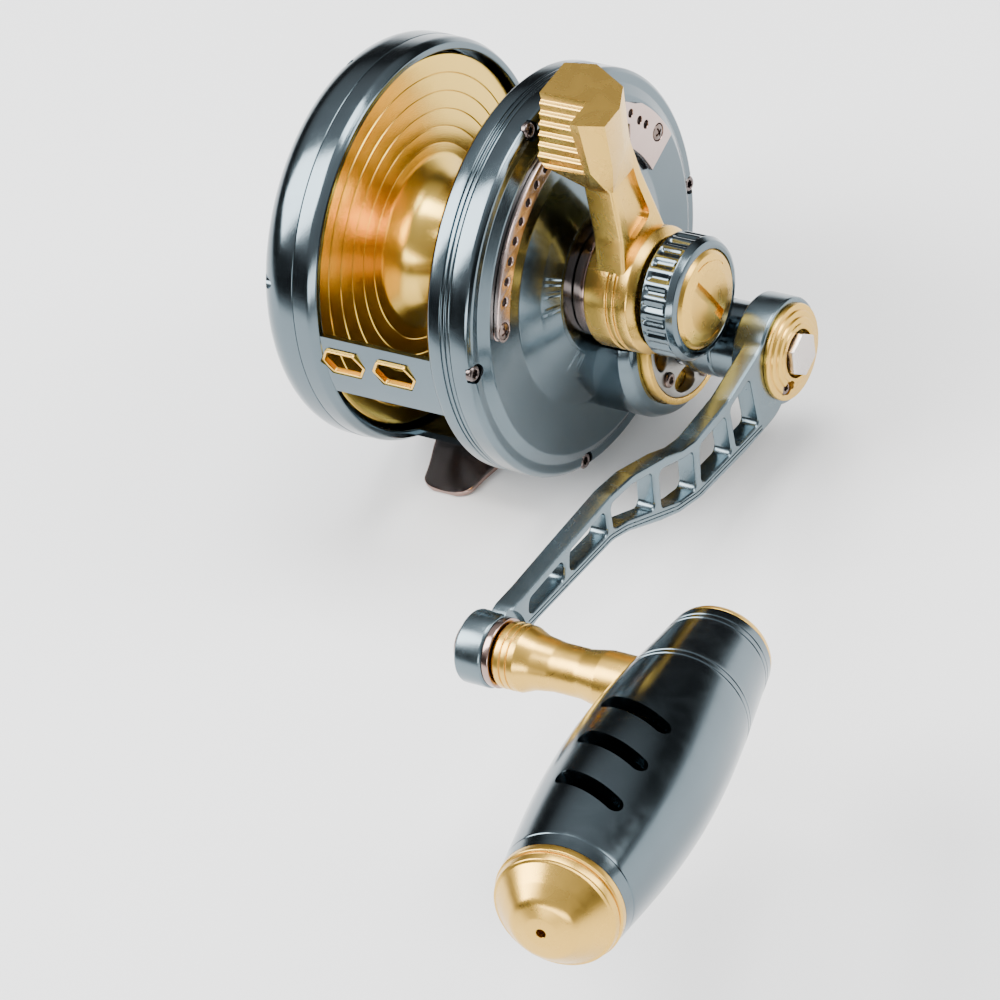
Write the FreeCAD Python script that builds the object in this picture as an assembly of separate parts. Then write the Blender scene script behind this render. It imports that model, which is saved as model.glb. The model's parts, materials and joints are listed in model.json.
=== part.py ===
"""Lever-drag trolling reel, built as separate pieces.

Frame: +X along the spool axis towards the handle, +Y forward to the rod tip, +Z up.
The origin is the centre of the reel foot's seat face. Pieces are drawn about the spool
axis and lifted by spool_axis_height when they are written.
"""
import FreeCAD, Part
import math
import os

V = FreeCAD.Vector

# ---- driving dimensions, millimetres and degrees -------------------------------------
spool_axis_height = 41.5     # foot seat face to spool axis
running_fit = 0.05           # radial clearance of a shaft turning in a hole
body_gap = 0.35              # space between pieces that move past each other

ring_radius = 38.4           # frame rings, outside
ring_wall = 2.2              # frame rings, radial wall
window_left = -4.2           # inner face of the left ring
window_width = 24.4          # clear width between the two rings
left_ring_width = 4.8
right_ring_width = 5.2

left_plate_radius = 38.8
left_plate_depth = 9.6
plate_wall = 2.0
rim_width = 4.4              # straight rim of the right side plate
quadrant_rise = 1.2          # rim face to quadrant seat
dome_rise = 2.8              # quadrant seat to lever hub seat

spool_radius = 35.3
spool_overhang = 1.7         # flange edge outside the window's left face
spool_inset = 1.6            # right flange's outer face inside the right ring
flange_edge = 2.0
arbor_radius = 11.2
spool_bearing_radius = 8.0
spool_bearing_width = 4.0

shaft_radius = 2.5
washer_thickness = 1.0
drive_plate_thickness = 1.2
bridge_thickness = 2.0       # plate that carries the drive shaft's inner bearing
drag_gap = 0.4               # free running space between washer and drive plate

gear_module = 0.7
main_teeth = 42
pinion_teeth = 15
drive_axis_y = 7.1           # drive shaft, forward of the spool axis
gear_width = 4.0
gear_backlash = 0.12
drive_shaft_radius = 3.5

gearbox_radius = 17.5
gearbox_reach = 7.2          # gearbox face beyond the hub seat
hub_tunnel_radius = 6.6
hub_outer_radius = 8.4
lever_hub_radius = 12.0
lever_hub_length = 10.6
lever_angle = 84.0           # lever direction at rest, from +Y towards +Z
pad_radius = 45.0            # top face of the thumb pad, from the spool axis
preset_radius = 11.6
preset_length = 7.4
preset_disc_radius = 9.4

sleeve_radius = 7.5
handle_gap = 2.25            # preset knob to the arm's inner face
arm_thickness = 6.4
arm_length = 98.2
arm_angle = 166.6            # arm direction at rest, from +Y towards +Z
arm_cap_radius = 9.2
stem_length = 37.6           # arm outer face to knob centre line
barrel_long_side = 57.7      # knob centre line to the large end of the barrel
barrel_short_side = 14.0     # knob centre line to the small end
barrel_slant = 10.2          # barrel axis out of the plane across the stem
barrel_yaw = 15.9            # barrel direction about the stem, from -Y towards +Z
barrel_wall = 2.4

foot_half_length = 26.0
foot_width = 17.0
foot_thickness = 3.0
foot_screw_x = 5.2
foot_screw_y = 9.0

# ---- stations along the spool axis -----------------------------------------------------
left_ring_out = window_left - left_ring_width
left_plate_out = left_ring_out - left_plate_depth
right_ring_in = window_left + window_width
right_ring_out = right_ring_in + right_ring_width
rim_out = right_ring_out + rim_width
quadrant_seat = rim_out + quadrant_rise
hub_seat = quadrant_seat + dome_rise
gearbox_face = hub_seat + gearbox_reach
ring_bore = ring_radius - ring_wall
cavity_radius = ring_bore - 0.6
spool_left = window_left - spool_overhang - flange_edge
spool_right = right_ring_in + spool_inset
washer_out = spool_right + washer_thickness
drive_plate_in = washer_out + drag_gap
drive_plate_out = drive_plate_in + drive_plate_thickness
bridge_in = drive_plate_out + body_gap
bridge_out = bridge_in + bridge_thickness
gear_in = bridge_out + body_gap
gear_out = gear_in + gear_width
pinion_bearing_in = gear_out + 1.4
pinion_bearing_out = pinion_bearing_in + 3.0
collar_in = hub_seat + 0.1
collar_out = collar_in + 2.4
hub_in = collar_out + body_gap
hub_out = hub_in + lever_hub_length
tunnel_end = hub_in + lever_hub_length * 0.66
preset_in = hub_out + 1.1
preset_out = preset_in + preset_length
arm_inner_face = preset_out + handle_gap
cover_out = gearbox_face + 1.9
arm_outer_face = arm_inner_face + arm_thickness
knob_x = arm_outer_face + stem_length

pinion_pitch = gear_module * pinion_teeth / 2
main_pitch = gear_module * main_teeth / 2
centre_distance = pinion_pitch + main_pitch
drive_axis_z = -math.sqrt(centre_distance ** 2 - drive_axis_y ** 2)
pinion_journal = pinion_pitch - 1.4


# ---- drawing helpers -------------------------------------------------------------------
def polar(radius, degrees):
    """Y and Z of a point at an angle measured from +Y towards +Z."""
    turn = math.radians(degrees)
    return radius * math.cos(turn), radius * math.sin(turn)


def rod(x0, x1, radius, y=0.0, z=0.0):
    """Solid cylinder along X."""
    return Part.makeCylinder(radius, x1 - x0, V(x0, y, z), V(1, 0, 0))


def tube(x0, x1, outer, inner, y=0.0, z=0.0):
    """Hollow cylinder along X."""
    return rod(x0, x1, outer, y, z).cut(rod(x0 - 1, x1 + 1, inner, y, z))


def turned(profile, y=0.0, z=0.0):
    """Solid turned about the X axis from (x, radius) points, closed on the axis side."""
    points = [V(x, r, 0) for x, r in profile]
    face = Part.Face(Part.makePolygon(points + [points[0]]))
    solid = face.revolve(V(0, 0, 0), V(1, 0, 0), 360)
    solid.translate(V(0, y, z))
    return solid


def box(x0, x1, y0, y1, z0, z1):
    """Block between two corners."""
    return Part.makeBox(x1 - x0, y1 - y0, z1 - z0, V(x0, y0, z0))


def spun(shape, degrees, y=0.0, z=0.0):
    """Copy of a shape turned about an axis along X."""
    copy = shape.copy()
    copy.rotate(V(0, y, z), V(1, 0, 0), degrees)
    return copy


def wedge(x0, x1, radius, start, end):
    """Slice of a cylinder along X between two angles measured from +Y towards +Z."""
    slice_ = Part.makeCylinder(radius, x1 - x0, V(0, 0, 0), V(0, 0, 1), end - start)
    slice_.rotate(V(0, 0, 0), V(1, 1, 1), 120)
    slice_.translate(V(x0, 0, 0))
    return spun(slice_, start)


def sector(x0, x1, inner, outer, start, end):
    """Arc-shaped block about the X axis between two angles."""
    return wedge(x0, x1, outer, start, end).cut(rod(x0 - 1, x1 + 1, inner))


def joined(shapes):
    """One solid from overlapping or touching shapes."""
    result = shapes[0]
    if len(shapes) > 1:
        result = result.fuse(shapes[1:])
    return result.removeSplitter()


def group(shapes):
    """Separate solids kept in one file."""
    return Part.makeCompound(shapes)


def prism(points, x0, x1):
    """Block with an outline of (y, z) points, along X."""
    corners = [V(x0, y, z) for y, z in points]
    return Part.Face(Part.makePolygon(corners + [corners[0]])).extrude(V(x1 - x0, 0, 0))


def screw(x_seat, radius, degrees, head=1.7, thread=1.0, length=4.0, inward=-1):
    """Socket screw along X, its head standing out from a seat face at x_seat."""
    y, z = polar(radius, degrees)
    tip = x_seat + inward * length
    crown = x_seat - inward * 1.1
    shank = rod(min(tip, x_seat), max(tip, x_seat), thread, y, z)
    cap = rod(min(x_seat, crown), max(x_seat, crown), head, y, z)
    socket_end = x_seat - inward * 0.4
    socket = rod(min(socket_end, crown) - 0.01, max(socket_end, crown) + 0.01, head * 0.45, y, z)
    return joined([shank, cap]).cut(socket)


def gear_outline(teeth, thin, clearance):
    """Corner points of an involute gear about the origin; tooth 0 points along +Y."""
    pitch = gear_module * teeth / 2
    base = pitch * math.cos(math.radians(20))
    tip = pitch + gear_module
    root = pitch - gear_module * (1.25 + clearance)
    roll = math.tan(math.radians(20)) - math.radians(20)
    half = math.pi / (2 * teeth) - thin / (2 * pitch)
    start = max(base, root)
    flank = []
    for step in range(6):
        r = start + (tip - start) * step / 5
        alpha = math.acos(min(1.0, base / r))
        flank.append((r, half + roll - (math.tan(alpha) - alpha)))
    points = []
    for tooth in range(teeth):
        middle = 2 * math.pi * tooth / teeth
        points.append((root, middle - flank[0][1]))
        points += [(r, middle - a) for r, a in flank]
        points += [(r, middle + a) for r, a in reversed(flank)]
        points.append((root, middle + flank[0][1]))
    return [(r * math.cos(a), r * math.sin(a)) for r, a in points]


def gear(teeth, x0, x1, turn, y=0.0, z=0.0):
    """Spur gear blank along X, tooth 0 turned to the given angle."""
    blank = prism(gear_outline(teeth, gear_backlash, 0.05), x0, x1)
    blank = spun(blank, turn)
    blank.translate(V(0, y, z))
    return blank


def ball_bearing(x0, x1, outer, inner, y=0.0, z=0.0):
    """Sealed bearing: two races with a shielded middle, as one ring."""
    middle = (outer + inner) / 2
    band = (outer - inner) * 0.2
    body = tube(x0, x1, outer, inner, y, z)
    groove = tube(x0 - 0.01, x0 + 0.25, middle + band, middle - band, y, z)
    other = tube(x1 - 0.25, x1 + 0.01, middle + band, middle - band, y, z)
    return body.cut(groove).cut(other)


# ---- frame and side plates ---------------------------------------------------------------
def make_frame():
    left = tube(left_ring_out, window_left, ring_radius - 0.4, ring_bore)
    right = tube(right_ring_in, right_ring_out, ring_radius, ring_bore)
    reach = right_ring_in - window_left + 2
    rear = sector(window_left - 1, window_left - 1 + reach, ring_bore, ring_radius - 1.0, 163, 183)
    for middle in (0.17, 0.63):
        x = window_left + window_width * middle
        z = polar(ring_bore, 171)[1]
        half, point, rise = 3.2, 4.9, 2.9
        corners = [(-point, 0), (-half, rise), (half, rise), (point, 0), (half, -rise), (-half, -rise)]
        outline = [V(x + a, -ring_radius - 1, z + b) for a, b in corners]
        hexagon = Part.Face(Part.makePolygon(outline + [outline[0]]))
        rear = rear.cut(hexagon.extrude(V(0, 8, 0)))
    front = sector(window_left - 1, window_left - 1 + reach, ring_bore, ring_radius - 1.0, -32, -12)
    base = box(left_ring_out + 0.2, right_ring_in + 1, -14, 14, -ring_radius - 0.1, -ring_radius + 6)
    base = base.cut(rod(left_ring_out - 1, right_ring_out, ring_bore))
    low_bar = sector(window_left - 1, window_left - 1 + reach, ring_bore, ring_radius - 1.0, -128, -52)
    frame = joined([left, right, rear, front, base, low_bar])
    for slot_y in (-11.6, -8.4):
        slot = box(-2.5, 0.5, slot_y - 0.5, slot_y + 0.5, -ring_radius + 1.0, -ring_radius + 8)
        frame = frame.cut(slot)
    for x, y in foot_holes():
        frame = frame.cut(Part.makeCylinder(1.05, 8, V(x, y, -ring_radius - 1), V(0, 0, 1)))
    for degrees in right_screw_angles:
        y, z = polar(ring_screw_circle, degrees)
        frame = frame.cut(rod(right_ring_out - 5, right_ring_out + 1, ring_screw_hole, y, z))
    for degrees in left_screw_angles:
        y, z = polar(ring_screw_circle, degrees)
        frame = frame.cut(rod(left_ring_out - 1, left_ring_out + 4, ring_screw_hole, y, z))
    return frame


ring_screw_circle = ring_radius - 0.4 - (ring_wall - 0.4) / 2
ring_screw_hole = 0.8
ring_screw_shank = 0.75
rim_pocket = 1.9
rim_pocket_floor = rim_out - 1.3
right_screw_angles = (164, 90, -18, -118, -60)
left_screw_angles = (150, 78, 6, -66, -138)


def foot_holes():
    """Centres of the four screws that hold the foot."""
    return [(x, y) for x in (-foot_screw_x, foot_screw_x) for y in (-foot_screw_y, foot_screw_y)]


def make_reel_foot():
    seat = -spool_axis_height
    top = seat + foot_thickness
    blade = 1.7
    tip = foot_half_length
    side = [(-tip, seat), (tip, seat), (tip, seat + blade * 0.7), (17, seat + blade * 0.9),
            (13.5, top), (-13.5, top), (-17, seat + blade * 0.9), (-tip, seat + blade * 0.7)]
    body = prism(side, -foot_width / 2, foot_width / 2)
    half = foot_width / 2
    plan = [(-half, -13), (-half * 0.62, -tip), (half * 0.62, -tip), (half, -13),
            (half, 13), (half * 0.62, tip), (-half * 0.62, tip), (-half, 13)]
    corners = [V(x, y, seat - 1) for x, y in plan]
    outline = Part.Face(Part.makePolygon(corners + [corners[0]])).extrude(V(0, 0, 10))
    body = body.common(outline)
    for x, y in foot_holes():
        body = body.cut(Part.makeCylinder(1.1, 8, V(x, y, seat - 1), V(0, 0, 1)))
        body = body.cut(Part.makeCylinder(1.9, 1.35, V(x, y, seat - 0.01), V(0, 0, 1)))
    return body


def make_foot_screws():
    seat = -spool_axis_height
    screws = []
    for x, y in foot_holes():
        head = Part.makeCylinder(1.8, 1.1, V(x, y, seat + 0.22), V(0, 0, 1))
        shank = Part.makeCylinder(1.0, foot_thickness + 0.4, V(x, y, seat + 1.3), V(0, 0, 1))
        drive = Part.makeCylinder(0.8, 0.6, V(x, y, seat + 0.2), V(0, 0, 1))
        screws.append(joined([head, shank]).cut(drive))
    return group(screws)


def make_left_side_plate():
    r = left_plate_radius
    out = left_plate_out
    shell = turned([(left_ring_out, 0), (left_ring_out, r), (out + 5.5, r), (out + 2.6, r - 0.9),
                    (out + 0.8, r - 3.0), (out, r - 6.2), (out + 0.8, 16.0), (out, 13.0), (out, 0)])
    hollow = turned([(left_ring_out + 0.1, 0), (left_ring_out + 0.1, cavity_radius),
                     (out + 5.0, cavity_radius), (out + plate_wall + 0.8, r - 7.4),
                     (out + plate_wall + 0.8, 0)])
    wall_hole = rod(left_ring_out - 0.2, left_ring_out + 0.2, cavity_radius)
    boss = rod(out + plate_wall, spool_left - 0.6, 6.2)
    plate = joined([shell.cut(hollow).cut(wall_hole), boss])
    plate = plate.cut(rod(out - 1, spool_left, 4.4))
    for degrees in left_screw_angles:
        y, z = polar(ring_screw_circle, degrees)
        plate = plate.cut(rod(out - 1, out + 4.6, rim_pocket, y, z))
        plate = plate.cut(rod(out, left_ring_out + 1, ring_screw_hole, y, z))
    return plate


def make_left_plate_screws():
    seat = left_plate_out + 4.6
    reach = left_ring_out + 3.0 - seat
    screws = []
    for degrees in left_screw_angles:
        screws.append(screw(seat, ring_screw_circle, degrees, 1.6, ring_screw_shank, reach, 1))
    return group(screws)


def make_shaft_bushing():
    return tube(left_plate_out + 2.4, spool_left - 0.7, 4.4, shaft_radius + running_fit)


def make_left_cap():
    x = left_plate_out
    cap = turned([(x - 0.8, 0), (x - 0.8, 3.4), (x - 0.3, 4.35), (x + 2.2, 4.35), (x + 2.2, 0)])
    return cap.cut(box(x - 1, x - 0.3, -2.6, 2.6, -0.5, 0.5))


def gearbox_boss(x0, x1, radius):
    return rod(x0, x1, radius, drive_axis_y, drive_axis_z)


def make_right_side_plate():
    r = ring_radius
    q = quadrant_seat
    shell = turned([(right_ring_out, 0), (right_ring_out, r), (rim_out - 0.8, r), (rim_out, r - 0.8),
                    (rim_out, r - 2.6), (q, r - 5.0), (q, 24.0), (q + 1.4, 18.6),
                    (hub_seat, 13.6), (hub_seat, 0)])
    bulge = turned([(q - 2, 0), (q - 2, gearbox_radius), (gearbox_face - 2.4, gearbox_radius),
                    (gearbox_face - 0.6, gearbox_radius - 0.8), (gearbox_face, gearbox_radius - 2.2),
                    (gearbox_face, 0)], drive_axis_y, drive_axis_z)
    bulge = bulge.cut(rod(collar_in - 0.2, gearbox_face + 1, lever_hub_radius + 0.8))
    stub = rod(hub_seat - 1, tunnel_end, hub_outer_radius)
    body = joined([shell, bulge, stub])
    hollow = turned([(right_ring_out - 1, 0), (right_ring_out - 1, cavity_radius),
                     (rim_out - 2.6, cavity_radius), (q - plate_wall, r - 6.4),
                     (q - plate_wall, 24.4), (q - plate_wall + 1.2, 19.0),
                     (hub_seat - plate_wall, 15.8), (hub_seat - plate_wall, 0)])
    gear_room = gearbox_boss(right_ring_out, gear_out + 1.6, main_pitch + gear_module + 0.6)
    hub_floor = rod(hub_seat - plate_wall, gearbox_face, lever_hub_radius + 2.4)
    gear_room = gear_room.cut(hub_floor)
    pinion_room = rod(hub_seat - plate_wall - 1, pinion_bearing_in, hub_tunnel_radius - 0.4)
    tunnel = rod(pinion_bearing_in, tunnel_end + 1, hub_tunnel_radius)
    cover_hole = gearbox_boss(gearbox_face - cover_recess, gearbox_face + 1, cover_seat_radius)
    clutch_bore = gearbox_boss(gear_out, gearbox_face, drive_bearing_radius)
    for room in (hollow, gear_room, pinion_room, tunnel, cover_hole, clutch_bore):
        body = body.cut(room)
    body = body.removeSplitter()
    for degrees in right_screw_angles:
        y, z = polar(ring_screw_circle, degrees)
        body = body.cut(rod(rim_pocket_floor, rim_out + 2, rim_pocket, y, z))
        body = body.cut(rod(right_ring_out - 1, rim_out, ring_screw_hole, y, z))
    for degrees in quadrant_screw_angles:
        y, z = polar(quadrant_middle, degrees)
        body = body.cut(rod(q - plate_wall - 1, q + 1, 0.85, y, z))
    return body


cover_seat_radius = 14.4
cover_recess = 1.4
quadrant_middle = 30.5
quadrant_screw_angles = (154, 17)


def make_right_plate_screws():
    reach = rim_pocket_floor - right_ring_out + 4.0
    return group([screw(rim_pocket_floor, ring_screw_circle, degrees, 1.6, ring_screw_shank, reach)
                  for degrees in right_screw_angles])


def make_quadrant_plate():
    x0 = quadrant_seat
    x1 = quadrant_seat + 1.1
    band = sector(x0, x1, quadrant_middle - 2.0, quadrant_middle + 2.0, 17, 154)
    fan = sector(x0, x1, quadrant_middle - 6.2, quadrant_middle + 2.6, 8, 34)
    y, z = polar(quadrant_middle, 154)
    end = rod(x0, x1, 2.0, y, z)
    plate = joined([band, fan, end])
    for degrees in quadrant_screw_angles:
        y, z = polar(quadrant_middle, degrees)
        plate = plate.cut(rod(x0 - 1, x1 + 1, 1.1, y, z))
        plate = plate.cut(rod(x0 + 0.5, x1 + 1, 1.75, y, z))
    for degrees in detent_angles():
        y, z = polar(detent_circle, degrees)
        plate = plate.cut(rod(x0 + 0.3, x1 + 1, 0.85, y, z))
    return plate


detent_circle = quadrant_middle
detent_step = 7.0


def detent_angles():
    """Angles of the detent dimples; the lever rests between two of them."""
    return [lever_angle + detent_step * (step + 0.5) for step in range(-8, 9)]


def make_quadrant_screws():
    seat = quadrant_seat + 0.5
    screws = []
    for degrees in quadrant_screw_angles:
        y, z = polar(quadrant_middle, degrees)
        shank = rod(seat - 2.6, seat, 0.8, y, z)
        head = rod(seat, seat + 0.9, 1.6, y, z)
        drive = box(seat + 0.4, seat + 1, y - 1.0, y + 1.0, z - 0.25, z + 0.25)
        cross = box(seat + 0.4, seat + 1, y - 0.25, y + 0.25, z - 1.0, z + 1.0)
        screws.append(joined([shank, head]).cut(drive).cut(cross))
    return group(screws)


def make_gear_cover():
    x0 = gearbox_face - 0.4
    x1 = cover_out
    cover = tube(x0, x1, cover_seat_radius - 1.4, drive_bearing_radius, drive_axis_y, drive_axis_z)
    for step in range(5):
        a, b = polar(9.4, 72 * step - 54)
        petal = rod(x0 - 1, x1 + 1, 1.75, drive_axis_y + a, drive_axis_z + b)
        c, d = polar(11.0, 72 * step - 54 + 11)
        e, f = polar(11.0, 72 * step - 54 - 11)
        petal = joined([petal, rod(x0 - 1, x1 + 1, 1.1, drive_axis_y + c, drive_axis_z + d),
                        rod(x0 - 1, x1 + 1, 1.1, drive_axis_y + e, drive_axis_z + f)])
        cover = cover.cut(petal)
    for step in range(5):
        a, b = polar(10.6, 72 * step - 18)
        cover = cover.cut(rod(x0 - 1, x1 + 1, 0.9, drive_axis_y + a, drive_axis_z + b))
    return cover.cut(hub_clearance(x0, x1))


def hub_clearance(x0, x1):
    """Space kept free around the lever hub."""
    return rod(x0 - 1, x1 + 1, lever_hub_radius + 0.8)


drive_bearing_radius = 6.5


def make_cover_ring():
    y, z = drive_axis_y, drive_axis_z
    outer = cover_seat_radius - 0.05
    rim = tube(gearbox_face - cover_recess, cover_out, outer, cover_seat_radius - 1.4, y, z)
    plate = tube(gearbox_face - cover_recess, gearbox_face - 0.4, outer, drive_bearing_radius, y, z)
    ring = joined([rim, plate])
    for step in range(5):
        a, b = polar(10.6, 72 * step - 18)
        ring = ring.cut(rod(gearbox_face - 3, gearbox_face, 0.75, y + a, z + b))
    return ring.cut(hub_clearance(gearbox_face - 2, cover_out))


def make_cover_screws():
    screws = []
    for step in range(5):
        a, b = polar(10.6, 72 * step - 18)
        y, z = drive_axis_y + a, drive_axis_z + b
        if math.hypot(y, z) > lever_hub_radius + 2.6:
            shank = rod(gearbox_face - cover_recess, cover_out, 0.7, y, z)
            head = rod(cover_out, cover_out + 0.7, 1.5, y, z)
            socket = rod(cover_out + 0.3, cover_out + 1, 0.7, y, z)
            screws.append(joined([shank, head]).cut(socket))
    return group(screws)


def make_gear_bridge():
    """Bearing plate inside the right cavity that carries the drive shaft's inner end."""
    x0 = bridge_in
    x1 = bridge_out
    y, z = drive_axis_y, drive_axis_z
    arm = rod(x0, x1, 9.5, y, z)
    wing = box(x0, x1, -24, 24, -cavity_radius, z + 4)
    wing = wing.common(rod(x0, x1, cavity_radius))
    bridge = joined([arm, wing])
    bridge = bridge.cut(rod(x0 - 1, x1 + 1, pinion_pitch + 2.6))
    bridge = bridge.cut(rod(x0 - 1, x1 + 1, inner_bearing_radius, y, z))
    return bridge


inner_bearing_radius = 6.0


# ---- spool and drag ----------------------------------------------------------------------
def make_spool():
    left = spool_left
    face = left + flange_edge
    right = spool_right
    inner = right - flange_edge
    a = arbor_radius
    body = turned([(left, 0), (left, spool_radius), (face, spool_radius), (face + 1.4, 17.5),
                   (face + 2.6, 16.4), (face + 3.2, 14.6), (face + 6.6, a + 0.5), (face + 9.0, a),
                   (inner - 6.4, a), (inner - 3.6, a + 1.0), (inner - 1.4, a + 4.0),
                   (inner - 0.9, 17.5), (inner, spool_radius), (right, spool_radius), (right, 0)])
    body = body.cut(rod(left - 1, left + spool_bearing_width, spool_bearing_radius))
    body = body.cut(rod(right - spool_bearing_width, right + 1, spool_bearing_radius))
    body = body.cut(rod(left, right, shaft_radius + 2.2))
    dish = turned([(left - 1, 10.0), (left - 1, spool_radius - 2.2), (left + 0.6, spool_radius - 2.2),
                   (left + 1.4, 17.5), (left + 3.0, 13.0), (left + 3.0, 10.0)])
    return body.cut(dish)


def make_spool_bearings():
    inner = shaft_radius + running_fit
    left = ball_bearing(spool_left, spool_left + spool_bearing_width, spool_bearing_radius, inner)
    right = ball_bearing(spool_right - spool_bearing_width, spool_right, spool_bearing_radius, inner)
    return group([left, right])


def make_drag_washer():
    return tube(spool_right, washer_out, spool_radius - 2.8, 13.0)


def make_drive_plate():
    plate = tube(drive_plate_in, drive_plate_out, spool_radius - 2.4, pinion_journal + 1.0)
    for step in range(6):
        y, z = polar(8.8, 60 * step)
        plate = plate.cut(rod(drive_plate_in - 1, drive_plate_out + 1, 1.5, y, z))
    return plate


def make_pinion_gear():
    flange = rod(drive_plate_in, drive_plate_out, pinion_journal + 1.0)
    collar = rod(drive_plate_out, gear_in - 1.0, pinion_journal + 2.0)
    neck = rod(gear_in - 1.2, gear_in, pinion_journal)
    teeth = gear(pinion_teeth, gear_in - 0.2, gear_out + 0.2, gear_mesh_angle())
    journal = rod(gear_out, pinion_bearing_out + 0.4, pinion_journal)
    body = joined([flange, collar, neck, teeth, journal])
    return body.cut(rod(drive_plate_in - 1, pinion_bearing_out + 2, shaft_radius + 0.3))


def gear_mesh_angle():
    """Direction from the spool axis to the drive axis: the pinion shows a gap there."""
    to_drive = math.degrees(math.atan2(drive_axis_z, drive_axis_y))
    return to_drive + 180.0 / pinion_teeth


def make_pinion_bearing():
    inner = pinion_journal + running_fit
    return ball_bearing(pinion_bearing_in, pinion_bearing_out, hub_tunnel_radius, inner)


def make_spool_shaft():
    start = left_plate_out + 2.6
    end = preset_out - 1.6
    body = rod(start, end, shaft_radius)
    collar = rod(pinion_bearing_out + 1.6, pinion_bearing_out + 2.6, shaft_radius + 1.4)
    for step in range(2):
        y = -shaft_radius - 1 if step else shaft_radius - 0.35
        flat = box(hub_out - 3.0, hub_out - 1.4, y, y + 1.35, -3, 3)
        body = body.cut(flat)
    return joined([body, collar])


def make_fixed_cam():
    ring = tube(tunnel_end - 2.6, tunnel_end - 0.6, hub_tunnel_radius, shaft_radius + 1.9)
    for step in range(3):
        y, z = polar(5.6, 120 * step)
        ring = ring.cut(rod(tunnel_end - 1.2, tunnel_end, 0.8, y, z))
    return ring


def make_thrust_washer():
    return tube(pinion_bearing_out + 0.4 + body_gap, pinion_bearing_out + 1.3, 4.6, shaft_radius + 0.1)


# ---- drag lever and preset knob ----------------------------------------------------------
def make_lever_collar():
    return tube(collar_in, collar_out, lever_hub_radius - 1.2, hub_outer_radius)


def lever_point(radius, sideways=0.0):
    """Y and Z of a point on the lever: distance along it and offset to its rear side."""
    y, z = polar(radius, lever_angle)
    a, b = polar(sideways, lever_angle + 90)
    return y + a, z + b


def make_drag_lever():
    r = lever_hub_radius
    hub = turned([(hub_in, 0), (hub_in, r - 0.5), (hub_in + 0.5, r), (hub_in + 5.0, r),
                  (hub_in + 5.2, r - 0.35), (hub_in + 5.5, r - 0.35), (hub_in + 5.7, r),
                  (hub_in + 6.6, r), (hub_in + 6.8, r - 0.35), (hub_in + 7.1, r - 0.35),
                  (hub_in + 7.3, r), (hub_out - 1.0, r), (hub_out, r - 1.6), (hub_out, 0)])
    x0 = hub_in + 2.0
    x1 = hub_out - 2.2
    low = [lever_point(4.0, 8.6), lever_point(16.0, 5.8), lever_point(26.0, 5.0),
           lever_point(33.0, 5.0), lever_point(33.0, -4.4), lever_point(24.0, -5.2),
           lever_point(14.0, -6.5), lever_point(4.0, -8.4)]
    arm = prism(low, x0, x1)
    pad = make_pad(x0, x1)
    lever = joined([hub, arm, pad])
    lever = lever.cut(rod(hub_in - 1, tunnel_end + body_gap, hub_outer_radius + running_fit))
    lever = lever.cut(rod(hub_in, hub_out + 1, shaft_radius + 0.3))
    y, z = lever_point(detent_circle)
    bore_end = x0 + plunger_depth
    lever = lever.cut(rod(quadrant_seat, bore_end, plunger_radius + running_fit, y, z))
    return lever


plunger_radius = 1.1
plunger_depth = 4.4


pad_depth = 15.0
pad_ridges = 7


def make_pad(x0, x1):
    """Thumb pad: an eight-sided block with ridges across its rear flank."""
    front = quadrant_seat + 1.1 + body_gap
    outline = [(front, -6.8), (front + 6.2, -8.0), (front + 14.4, -3.6), (front + 17.0, 2.0),
               (front + 17.0, 7.4), (front + 12.0, 8.6), (front + 1.0, 8.4), (front, 7.4)]
    centre = V(0, *polar(pad_radius, lever_angle))
    rear = V(0, *polar(1.0, lever_angle + 90))
    down = V(0, *polar(-1.0, lever_angle))

    def ring_at(points, depth):
        corners = [centre + V(x, 0, 0) + rear * s + down * depth for x, s in points]
        return Part.makePolygon(corners + [corners[0]])

    lower = [(front, -5.8), (front + 6.2, -6.6), (front + 13.0, -3.4), (front + 14.8, 1.6),
             (front + 14.8, 5.6), (front + 11.6, 8.2), (front + 1.0, 8.4), (front, 7.4)]
    waist = [(x0, -4.2), (x0 + 2.0, -4.2), (x1 - 0.6, -4.2), (x1, -3.0), (x1, 4.4), (x1 - 0.6, 5.0),
             (x0 + 2.0, 5.0), (x0, 4.6)]
    belly = Part.makeLoft([ring_at(outline, 0), ring_at(lower, pad_depth - 3.5)], True, True)
    neck = Part.makeLoft([ring_at(lower, pad_depth - 3.5), ring_at(waist, pad_depth + 3.5)], True, True)
    pad = joined([belly, neck])
    for step in range(pad_ridges):
        depth = step * 1.75
        side = 2.2 + 0.86 * step
        corner = centre + V(front - 1, 0, 0) + rear * side + down * depth
        along = [V(0, 0, 0), rear * 12, rear * 12 + down * 1.76, down * 1.76]
        step_face = Part.Face(Part.makePolygon([corner + p for p in along] + [corner]))
        pad = pad.cut(step_face.extrude(V(11.2, 0, 0)))
    return pad


def make_detent_plunger():
    y, z = lever_point(detent_circle)
    tip = quadrant_seat + 1.13
    seat = hub_in + 2.0 + plunger_depth
    body = turned([(tip, 0), (tip, 0.35), (tip + 0.5, 0.75), (tip + 0.9, plunger_radius),
                   (seat - 2.6, plunger_radius), (seat - 2.6, 0)], y, z)
    return body


def make_detent_spring():
    y, z = lever_point(detent_circle)
    seat = hub_in + 2.0 + plunger_depth
    helix = Part.makeHelix(0.4, 1.35, 0.65)
    helix.rotate(V(0, 0, 0), V(0, 1, 0), 90)
    helix.translate(V(seat - 1.55, y, z))
    start = helix.Vertexes[0].Point
    section = Part.Wire(Part.makeCircle(0.13, start, V(0.1, 1, 0)))
    coil = Part.Wire(helix.Edges).makePipeShell([section], True, True)
    return coil


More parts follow.
